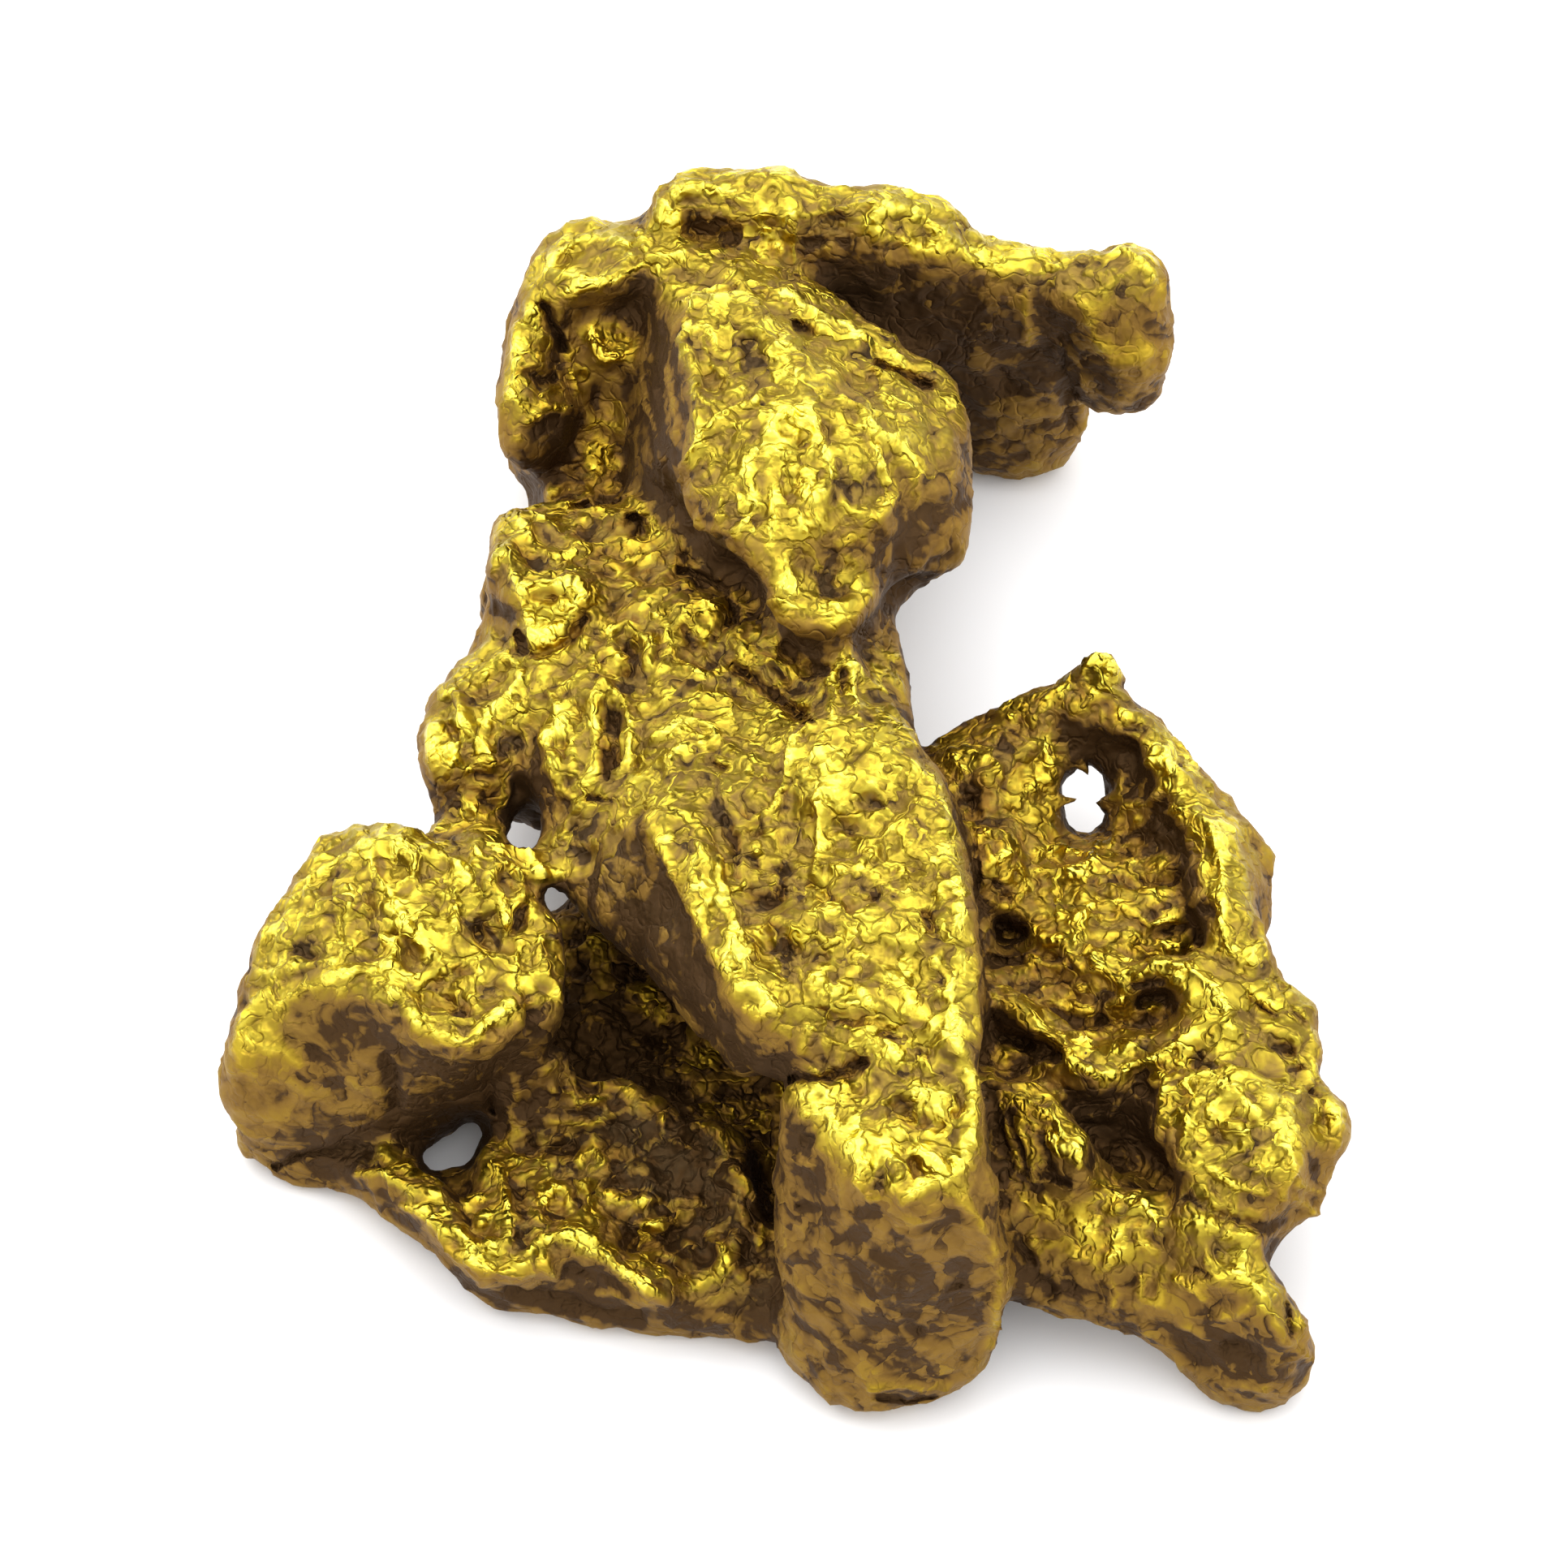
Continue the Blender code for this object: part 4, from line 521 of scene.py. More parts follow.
    ridge(0.24, 0.2, 3.4, -8.25, 3.9, -8.7, 4.2, -9.25, 4.33, -9.9, 4.3, -10.8, 4.2, -11.4),
    pit(0.2, 0.3, 0.3, -8.55, 0.7, -8.55),
    groove(0.5, 0.12, 2.3, -9.9, 2.4, -10.7, 2.7, -11.1),
    pit(0.26, 0.3, 3.35, -10.2, 3.55, -10.1),
    ridge(0.3, 0.18, 1.8, -12.3, 2.3, -12.2, 2.8, -12.3, 3.3, -12.2),
    pit(0.24, 0.5, 1.95, -12.5, 2.5, -12.58, 3, -12.5),
    rub_and_paint_light(1.6, 0.55, 1.4, -6.9, 2.2, -7.4, 3.2, -7.4),
    rub_and_paint_light(2, -0.15, 2.6, -9.8, 2.8, -11),
    rub_and_paint_light(1, 0.2, 1.2, -9.6, 1.2, -11),
    rub_and_paint_light(0.8, -0.4, 0.2, -7.4, 0.6, -8.2),
    # The boot-shaped lobe: a crumpled top, brightened with painted light, a dimple darkened with painted
    # shade, and a pitted brown front darkened with painted shade
    ridge(0.26, 0.16, -9.75, -2.3, -9.7, -1.9, -9.2, -1.55, -8.7, -1.3, -8.4, -1.2),
    ridge(0.36, 0.18, -8.2, -0.95),
    ridge(0.32, 0.22, -8.45, -1.4, -8.3, -1.85, -8, -2.3, -7.8, -2.75, -7.5, -3.2, -7.2, -3.5),
    ridge(0.28, 0.2, -7.9, -1.3, -7.55, -1.5, -7.55, -1.9, -7.85, -2),
    groove(0.7, 0.3, -9.2, -2.1, -8.7, -2.5),
    ridge(0.24, 0.16, -8.9, -2.1, -8.85, -2.5),
    ridge(0.24, 0.16, -8.9, -2.7),
    ridge(0.3, 0.2, -8.2, -3.1, -7.9, -3.4, -8.1, -3.7, -7.6, -3.9),
    groove(0.25, 0.2, -7.9, -3.05, -7.6, -3.35),
    ridge(0.36, 0.24, -8, -4.2, -7.7, -4.5, -7.4, -4.95, -6.9, -5.25, -6.4, -5.3, -6.05, -5, -5.9, -4.7,
          -5.65, -4.5),
    ridge(0.22, 0.16, -7.3, -4.7, -6.8, -4.85, -6.35, -4.85),
    ridge(0.26, 0.22, -6.2, -4.55),
    groove(0.4, 0.3, -7.1, -4.35, -6.5, -4.6),
    pit(0.5, 0.45, -6.35, -2.95, -6.1, -3.25),
    pit(0.28, 0.3, -7.1, -4.1, -6.75, -3.95, -6.4, -3.85),
    ridge(0.22, 0.18, -6.75, -2.55, -6.65, -2.95),
    ridge(0.3, 0.18, -6.3, -1.3),
    ridge(0.3, 0.18, -6.6, -1.65, -6.4, -1.9),
    ridge(0.26, 0.22, -6.15, -2.25, -5.95, -1.8, -5.6, -1.6, -5.35, -1.9, -5.4, -2.3, -5.6, -2.6,
          -5.7, -2.9),
    ridge(0.26, 0.18, -5.95, -2.3, -5.75, -2.5),
    ridge(0.26, 0.16, -7.2, -2.2, -6.9, -2.3, -6.7, -2.2),
    pit(0.18, 0.4, -5.3, -2.55, -5.5, -3),
    ridge(0.22, 0.16, -5.25, -1.4, -5, -1.6, -4.88, -1.85),
    ridge(0.24, 0.2, -5, -3.1, -4.92, -3.7, -4.75, -4, -4.6, -4.35),
    ridge(0.22, 0.14, -5.4, -3.2, -5.5, -3.9),
    groove(0.5, 0.3, -5.2, -4.3, -5, -4.7),
    ridge(0.28, 0.2, -9.2, -3.6),
    ridge(0.24, 0.14, -8.9, -3.45, -8.6, -3.4),
    ridge(0.26, 0.16, -9.75, -2.95, -9.5, -2.9),
    groove(0.5, 0.3, -10, -3.35, -9.6, -3.5),
    ridge(0.32, 0.18, -10.4, -4.55, -9.8, -4.2, -9.2, -3.95, -8.6, -3.8),
    groove(0.3, 0.22, -10.2, -4, -9.6, -3.8),
    ridge(0.4, 0.18, -11, -4.7, -11.15, -5.4),
    pit(0.2, 0.25, -9.75, -5.35, -9.6, -5.5),
    pit(0.2, 0.15, -9.95, -5.95, -9.75, -6.1),
    pit(0.16, 0.2, -10.15, -5.2, -10, -5.25),
    ridge(0.3, 0.12, -10.6, -5.4, -10.2, -5.45, -9.9, -5.7),
    groove(0.3, 0.3, -8.15, -5.6, -7.95, -6.1, -7.95, -6.7),
    pit(0.22, 0.5, -10.45, -7.85, -10, -7.6, -9.2, -7.52, -8.5, -7.5),
    rub_and_paint_light(1.3, 0.5, -8.3, -1.6, -7.8, -2.6, -7.6, -3.6),
    rub_and_paint_light(0.9, 0.4, -5.9, -2, -5.7, -2.4),
    rub_and_paint_light(0.6, 0.4, -10.9, -4.6, -11.1, -5.4),
    rub_and_paint_light(0.9, -0.4, -10, -3.3, -9.2, -2.4),
    rub_and_paint_light(2, 0.1, -10, -6.2, -9.2, -6.4),
    rub_and_paint_light(0.7, -0.4, -9.8, -7.8, -8.8, -7.8),
    # The low bowl in front: its rolled rim and arch, its loops and flakes, and the front edge darkened with
    # painted shade
    ridge(0.24, 0.16, -8.8, -8, -8.3, -7.95, -7.9, -8.1, -7.6, -8.3),
    ridge(0.28, 0.24, -7.8, -8.6, -7.3, -8.8, -7, -9.1, -6.8, -9.5, -6.4, -9.75, -6, -9.9, -5.4, -10),
    ridge(0.22, 0.16, -6.6, -9.15, -6.3, -9.5),
    ridge(0.45, 0.24, -4.9, -9.8, -4.7, -10),
    ridge(0.26, 0.26, -5.2, -9.5, -4.9, -9.3, -4.4, -9.2, -4, -9.25, -3.8, -9.5, -3.4, -9.85, -2.9, -10.2,
          -2.4, -10.5),
    pit(0.5, 0.45, -4.25, -9.85, -3.7, -10, -3.2, -10.35),
    ridge(0.28, 0.16, -3.8, -10.4, -3.4, -10.4),
    groove(0.4, 0.25, -5.5, -10.4, -4.8, -10.5, -4, -10.8, -3, -10.9),
    ridge(0.26, 0.22, -6, -7.7, -5.8, -8, -5.65, -8.5, -5.6, -9, -5.6, -9.35, -5.95, -9.4),
    ridge(0.26, 0.18, -6.5, -8.6, -6.2, -8.45),
    ridge(0.24, 0.18, -6.2, -8.95, -6.1, -8.8),
    groove(0.45, 0.3, -6.4, -8.8, -6.1, -9.2),
    groove(0.4, 0.25, -5.3, -8.3, -5.3, -9.1),
    ridge(0.3, 0.24, -4.9, -8.55, -4.75, -8.2, -4.45, -8.35, -4.35, -8.7),
    ridge(0.26, 0.16, -5.2, -8.7, -5, -8.9),
    ridge(0.22, 0.16, -4.1, -8.2, -3.95, -8.5, -4.15, -8.8),
    ridge(0.24, 0.18, -5.35, -7.7),
    ridge(0.22, 0.18, -5.1, -7.7, -4.75, -7.8),
    groove(0.35, 0.3, -5.6, -7.35, -4.8, -7.35, -4, -7.4),
    ridge(0.26, 0.16, -3.9, -7.5, -3.6, -7.85),
    ridge(0.28, 0.18, -3.4, -8.5, -3, -8.55, -2.6, -8.5),
    ridge(0.28, 0.16, -2.8, -9, -2.4, -8.85),
    groove(0.35, 0.25, -3.6, -8.2, -3, -8.15),
    ridge(0.22, 0.18, -2.5, -6.75, -2.45, -7.2),
    ridge(0.22, 0.18, -2.2, -7.3, -1.75, -7.52),
    ridge(0.24, 0.16, -1.85, -6.95, -1.4, -7, -1.18, -7.45),
    ridge(0.24, 0.22, -1, -7.9, -0.8, -8.15, -0.62, -8.5),
    pit(0.28, 0.4, -1.75, -9.3, -1.55, -9.65),
    ridge(0.3, 0.18, -1.3, -9.4, -1.1, -9.8, -1.3, -10.1),
    ridge(0.24, 0.16, -0.4, -9, -0.5, -9.4),
    ridge(0.26, 0.16, -2.1, -8.5, -1.6, -8.6),
    ridge(0.26, 0.16, -3, -9.6, -2.2, -9.7),
    groove(0.4, 0.25, -2.9, -9.2, -2.1, -9.2),
    ridge(0.26, 0.16, -1.35, -10.9, -1, -10.9),
    ridge(0.3, 0.2, -4.85, -5.85, -4.6, -5.5, -4.4, -5.9),
    ridge(0.28, 0.24, -4.75, -6.25, -4.4, -6.3),
    ridge(0.28, 0.26, -4.25, -6.5, -3.6, -6.42),
    ridge(0.2, 0.16, -3.8, -6.15, -3.25, -6.25),
    ridge(0.24, 0.14, -5.5, -6, -5.45, -6.4),
    ridge(0.22, 0.12, -5.6, -6.6, -5.5, -7.1),
    ridge(0.26, 0.14, -4.8, -6.9, -4, -7, -3.3, -6.7),
    pit(0.26, 0.7, -6, -6.1, -5.95, -6.7),
    rub_and_paint_light(0.8, 0.4, -4.8, -8.4, -4.4, -8.5),
    rub_and_paint_light(1.8, -0.2, -5.2, -6.8, -3.4, -7.3, -2, -8.2),
    rub_and_paint_light(1.2, -0.25, -1.6, -9.8, -1, -10.3),
    rub_and_paint_light(0.9, -0.6, -6.6, -10.3, -5.4, -10.6, -3.6, -10.7, -1.6, -11),
    # The crumpled wing: its knob and star-shaped hole, the bowl with its bright edge, strips and black pits
    ridge(0.26, 0.16, 6.25, 2.55, 6.6, 2.6, 6.75, 2.3),
    ridge(0.4, 0.2, 6.4, 1.9, 6.2, 1.6, 5.95, 1.35),
    ridge(0.24, 0.18, 6.95, 1.45, 7.3, 1.35),
    pit(0.2, 0.3, 7, 1.12, 7.3, 1.12),
    ridge(0.24, 0.2, 7.5, 0.45, 7.6, 0.75, 7.85, 0.7, 7.95, 0.35, 8.15, 0.05),
    ridge(0.3, 0.16, 8, 0.9, 8.4, 0.3, 8.8, -0.2),
    groove(0.5, 0.3, 7.1, 0.8, 7.1, 0.3),
    ridge(0.3, 0.5, 5.72, -0.35, 5.9, -0.42),
    ridge(0.25, 0.4, 6.15, 0.45, 6.22, 0.32),
    ridge(0.25, 0.35, 6.85, -0.3, 6.72, -0.42),
    ridge(0.24, 0.2, 6.9, -0.7, 7.1, -0.45, 7.45, -0.45, 7.75, -0.25),
    ridge(0.26, 0.2, 7.25, -0.75),
    ridge(0.28, 0.22, 7.9, -0.6, 8.35, -0.6, 8.7, -0.9, 8.88, -1.3, 8.95, -2, 8.95, -2.6, 9, -3.2, 9.3, -3.6,
          9.6, -3.7),
    groove(1.2, 0.35, 7.7, -1.5, 7.9, -2.1),
    ridge(0.3, 0.12, 7.2, -1.6, 7.8, -1.5),
    ridge(0.26, 0.22, 8.35, -2.45, 8, -2.8, 7.5, -2.9, 7.1, -2.6, 6.8, -2.4, 6.4, -2.4, 6.1, -2.75),
    ridge(0.24, 0.16, 6.45, -2.65),
    ridge(0.3, 0.18, 5.2, -1.4, 5.8, -1.35, 6.35, -1.5, 6.3, -1.8, 5.6, -1.85, 5.2, -1.8),
    pit(0.26, 0.4, 6.85, -1.35, 7, -1.42),
    pit(0.22, 0.4, 8.6, -2.55, 8.8, -2.65),
    pit(0.18, 0.3, 7.6, -3.05, 8.2, -2.98),
    ridge(0.24, 0.18, 5.25, -3.2, 5.7, -3.35, 6, -3.65),
    ridge(0.26, 0.22, 6.25, -3.35, 6.45, -3.75, 6.85, -4),
    ridge(0.22, 0.14, 5.1, -3.6, 5.5, -3.75, 5.8, -3.65),
    groove(0.3, 0.2, 5.4, -3.5, 5.7, -3.6),
    ridge(0.26, 0.22, 6.1, -4.2),
    ridge(0.34, 0.26, 6, -4.6, 6.25, -4.62),
    ridge(0.3, 0.24, 6.7, -4.5, 6.9, -4.45),
    pit(0.2, 0.35, 5.3, -4.5, 5.9, -4.85, 6.9, -4.88),
    pit(0.4, 0.8, 4.35, -2.9, 4.9, -3.05),
    pit(0.36, 0.6, 4.35, -3.6, 4.8, -3.7),
    pit(0.3, 0.8, 7.3, -4.4, 7.85, -4.3),
    pit(0.2, 0.4, 7.15, -4.1, 7.8, -3.98),
    ridge(0.26, 0.22, 7.2, -3.95, 7.6, -3.6, 8.2, -3.72, 8.7, -4.1, 9, -4.6, 9.1, -5),
    ridge(0.24, 0.14, 7.8, -3.3, 8.4, -3.35, 8.9, -3.7),
    ridge(0.24, 0.18, 4.15, -1, 4.4, -1.1, 4.65, -1.4, 4.25, -1.6, 4.15, -1.3),
    ridge(0.24, 0.16, 4.2, -2.4, 4.6, -2.55, 4.95, -2.2, 4.9, -1.7),
    pit(0.18, 0.3, 4.4, -2.05),
    pit(0.2, 0.3, 4.75, -1.85),
    pit(0.18, 0.25, 4.65, -2.35),
    ridge(0.22, 0.14, 4, 0.55, 4.25, 0.5, 4.5, 0.1),
    ridge(0.22, 0.14, 3.4, 0.6, 3.7, 0.3),
    ridge(0.24, 0.14, 5.4, 0.7, 5.45, 0.45),
    ridge(0.24, 0.12, 4.7, 1.4),
    pit(0.22, 0.3, 10.05, -4.05, 10.2, -4.15),
    pit(0.16, 0.3, 9.5, -4.4, 9.8, -4.6, 10.1, -4.78, 10.35, -4.6, 10.65, -4.9),
    pit(0.24, 0.35, 10.1, -5.4, 10.3, -5.5),
    ridge(0.26, 0.22, 10.4, -5.65),
    pit(0.16, 0.3, 10.3, -5.85, 10.55, -5.8),
    ridge(0.26, 0.16, 9.6, -4.3, 10, -4.5),
    ridge(0.28, 0.16, 9.9, -5, 10.5, -5.2),
    pit(0.28, 0.6, 4.2, -4.75, 4.4, -5.15, 5, -5.3, 5.65, -5.55),
    ridge(0.28, 0.24, 4.6, -4.5, 5.2, -5.05, 5.85, -5.6, 6.2, -5.8),
    ridge(0.24, 0.18, 4.5, -5.6),
    ridge(0.24, 0.16, 5.3, -5.65),
    ridge(0.22, 0.14, 6.05, -5.15, 6.4, -5.1),
    ridge(0.26, 0.2, 7, -5.75, 7.6, -5.5, 8.1, -5.3, 8.35, -5.1),
    groove(0.2, 0.2, 7.15, -5.95, 7.6, -5.75, 8.2, -5.8, 8.45, -5.5),
    pit(0.26, 0.5, 7.2, -6.2, 7.6, -6.3),
    ridge(0.24, 0.2, 7.75, -6.2, 7.65, -7.2),
    ridge(0.26, 0.24, 8.15, -6.1, 8.4, -6.4, 8.1, -7.3),
    ridge(0.3, 0.14, 8.7, -6.5, 9.2, -6.3, 9.6, -6.6),
    ridge(0.26, 0.14, 9, -6.9, 9.3, -7),
    ridge(0.3, 0.18, 9.9, -6.9, 10.3, -7.1, 10.3, -7.8, 10.1, -8.4),
    groove(0.22, 0.16, 8.7, -7, 8.9, -7.4, 9.4, -7.6),
    groove(0.22, 0.14, 9, -6.7, 9.5, -6.9),
    ridge(0.28, 0.14, 8.4, -7.7, 9, -8.1, 9.8, -8.3),
    pit(0.16, 0.3, 10.7, -6.25, 10.95, -6.4, 10.98, -7),
    ridge(0.24, 0.14, 11.2, -6.6, 11.25, -7.3),
    pit(0.2, 0.25, 10.65, -7.5, 10.75, -7.8),
    ridge(0.26, 0.18, 10.4, -8.1, 10.9, -8.3),
    ridge(0.26, 0.18, 10.35, -8.4, 10.8, -8.7),
    pit(0.3, 0.4, 8.2, -8.4, 8.8, -8.75, 9.8, -9.02, 10.15, -8.9),
    ridge(0.26, 0.2, 4.4, -6.3, 5, -6.5, 5.5, -6.8, 5.9, -7.4, 6, -7.75),
    ridge(0.24, 0.18, 4.4, -6.5, 4.6, -7.2, 4.8, -7.75),
    ridge(0.24, 0.18, 4.7, -6.8, 5, -7.4, 5.1, -8),
    ridge(0.3, 0.2, 5.4, -7.1, 5.6, -7.4),
    groove(0.2, 0.2, 4.7, -7, 4.9, -7.7),
    groove(0.25, 0.2, 5.2, -7, 5.3, -7.7),
    pit(0.2, 0.4, 5.3, -7.95, 5.8, -8.1),
    ridge(0.2, 0.18, 6.25, -6.75),
    ridge(0.18, 0.18, 6.6, -6.75, 6.85, -6.45),
    ridge(0.26, 0.18, 6.4, -8.1, 6.85, -8.4, 6.7, -8.7),
    ridge(0.2, 0.18, 7.3, -8.5, 7.65, -8.95),
    ridge(0.3, 0.18, 5.3, -8.4, 5.5, -8.8),
    ridge(0.35, 0.18, 6, -8.8, 6.3, -9),
    ridge(0.22, 0.22, 5.1, -9.25),
    ridge(0.26, 0.18, 6.8, -9.2),
    ridge(0.24, 0.18, 6.7, -9.5, 6.6, -9.8),
    ridge(0.24, 0.14, 5.9, -9.6, 6.3, -9.7),
    ridge(0.26, 0.14, 7.2, -9.2, 7.5, -9.5),
    pit(0.28, 0.6, 4.85, -9.4, 5, -9.65),
    groove(0.4, 0.25, 5.1, -10, 5.4, -10.3),
    ridge(0.22, 0.18, 7.3, -10, 7.3, -10.45, 7.65, -10.5, 7.7, -10.1),
    ridge(0.22, 0.16, 6.6, -10.1, 6.8, -10.3, 6.7, -10.6),
    groove(0.3, 0.2, 5.8, -10.2, 6.3, -10.4),
    rub_and_paint_light(0.8, 0.35, 6.3, 1.8),
    rub_and_paint_light(0.8, 0.3, 8.9, -1.6, 9, -3),
    rub_and_paint_light(1.6, 0.12, 8.6, -6.8, 9.6, -7.2),
    rub_and_paint_light(1, 0.2, 6.4, -3.4, 6.4, -4.4),
    rub_and_paint_light(1.4, 0.5, 7.9, -1.7),
    rub_and_paint_light(1.3, 0.35, 4.8, 0.2, 5.6, -0.6, 6.6, -1.4),
    rub_and_paint_light(0.9, 0.4, 7.2, 0.8, 7.4, 0),
    rub_and_paint_light(1.2, 0.3, 5, -2.6, 6, -3.2, 7.2, -3.4),
    rub_and_paint_light(1.2, -0.3, 6.4, -7.3, 7.6, -7.9, 8.4, -8.5),
    rub_and_paint_light(0.8, -0.4, 9.6, -1.8, 9.6, -2.8),
    rub_and_paint_light(1.8, 0.85, 5, -8.6, 6.6, -9.4, 7.8, -9.9),
    # The small foot: a bright knobbed top and a front darkened with painted shade
    ridge(0.3, 0.24, 8.6, -9.62, 8.65, -9.7),
    ridge(0.28, 0.24, 9.1, -9.85, 9.35, -9.9),
    pit(0.22, 0.35, 8.35, -9.85, 8.6, -9.95),
    ridge(0.24, 0.2, 7.95, -10.05, 8.25, -10.15, 8.5, -10.45),
    ridge(0.3, 0.2, 9.4, -10, 9.75, -10.4, 9.95, -10.9, 10.25, -11.3, 10.7, -11.7),
    groove(0.4, 0.25, 8.9, -10.35, 9.3, -10.4),
    ridge(0.26, 0.16, 8.7, -10.8, 9.2, -10.8, 9.4, -10.6),
    pit(0.16, 0.35, 10.2, -10.6, 10.25, -11.1),
    ridge(0.22, 0.14, 10.4, -10.7, 10.5, -11.2),
    groove(0.5, 0.25, 8.6, -11.4, 9.3, -11.5),
    ridge(0.3, 0.14, 8.2, -11, 8.5, -11.2),
    ridge(0.35, 0.14, 9, -12.2, 9.8, -12.3),
    rub_and_paint_light(1.6, -0.5, 8.6, -11.5, 9.4, -11.7, 10, -12.2),
)

def raggedness(points):
    """How soon a stroke fades at each point, so that its edge comes out ragged."""
    return np.exp([RAGGED * noise.noise(Vector(place) / (NOTCH * MM)) for place in points.tolist()])


def trail(seen, path):
    """Points on the surface along a line through the places of a path on the drawing."""
    places = list(zip(path[::2], path[1::2]))
    met = []
    for (across, up), (next_across, next_up) in zip(places, places[1:] or places):
        pieces = max(1, math.ceil(math.hypot(next_across - across, next_up - up) / STEP))
        for piece in range(pieces + 1):
            share = piece / pieces
            start = (across + (next_across - across) * share, up + (next_up - up) * share)
            point = seen.ray_cast(on_table(*start, SIGHT_START), SIGHT)[0]
            if point is not None and (not met or abs(point.z - met[-1].z) < LEAP * MM):
                met.append(point)
    return np.array([tuple(point) for point in met]).reshape(-1, 3)


def reached(points, ragged, seen, stroke, slim):
    """The indices of the points that a stroke reaches, and how much each takes of it."""
    line = trail(seen, stroke.path)
    if not len(line):
        return np.zeros(0, int), np.zeros(0)
    width = stroke.width * (slim if stroke.kind in SLIMMED else 1.0)
    reach = REACH * width * MM
    near = np.flatnonzero(((points > line.min(0) - reach) & (points < line.max(0) + reach)).all(1))
    away = np.full(len(near), np.inf)
    for point in line:
        away = np.minimum(away, ((points[near] - point) ** 2).sum(1))
    return near, np.maximum(0.0, 1.0 - np.sqrt(away * ragged[near]) / (width * MM)) ** FALL


def shape(worked, slim, force):
    """Moves the surface by every ridge, groove and pit."""
    seen = worked.look()
    facing = worked.facing(BROAD)
    ragged = raggedness(worked.points)
    lift = np.zeros(len(worked.points))
    push = np.zeros(len(worked.points))
    for stroke in STROKES:
        if stroke.kind == "rub_and_paint_light":
            continue
        near, share = reached(worked.points, ragged, seen, stroke, slim)
        if stroke.kind == "ridge":
            lift[near] = np.maximum(lift[near], share * stroke.height * MM)
        elif stroke.kind == "groove":
            sunk = np.minimum(lift[near], -share * stroke.height * MM)
            lift[near] = np.where(lift[near] > 0.0, lift[near], sunk)
        else:
            push[near] = np.maximum(push[near], share ** PIT_WALL * stroke.height * PIT_SHARE * MM)
    worked.points += facing * (lift * force)[:, None] + np.array(SIGHT) * (push * force)[:, None]


def rubbed_and_painted_by_strokes(worked, slim):
    """How much each point is rubbed bright by the strokes and painted with their light and shade, from -1 for
    black painted shade to 1 for bright.
    """
    seen = worked.look()
    ragged = raggedness(worked.points)
    worn_and_painted = np.zeros(len(worked.points))
    for stroke in STROKES:
        near, share = reached(worked.points, ragged, seen, stroke, slim)
        worn_and_painted[near] += share * stroke.wear
    return np.clip(worn_and_painted, -1.0, 1.0)


def node(tree, kind, links=None, **settings):
    """Adds a shader node, sets its properties and input values, and links its inputs by name or number."""
    made = tree.nodes.new(kind)
    for name, value in settings.items():
        setattr(made, name, value)
    for name, source in (links or {}).items():
        socket = made.inputs[name]
        if isinstance(source, bpy.types.NodeSocket):
            tree.links.new(source, socket)
        else:
            socket.default_value = source
    return made


def maths(tree, operation, *values, kind="ShaderNodeMath", result=0):
    """The result of a sum over these sockets and numbers."""
    return node(tree, kind, dict(enumerate(values)), operation=operation).outputs[result]


def spread(tree, value, span, onto=(0.0, 1.0), **settings):
    """A value with this span spread onto another."""
    ends = dict(zip(("From Min", "From Max", "To Min", "To Max"), span + onto))
    return node(tree, "ShaderNodeMapRange", {"Value": value, **ends}, **settings).outputs["Result"]


def mixed(tree, share, first, second, **settings):
    """A mix of two colours."""
    colours = {"Factor": share, "A": first, "B": second}
    return node(tree, "ShaderNodeMix", colours, data_type="RGBA", **settings).outputs["Result"]


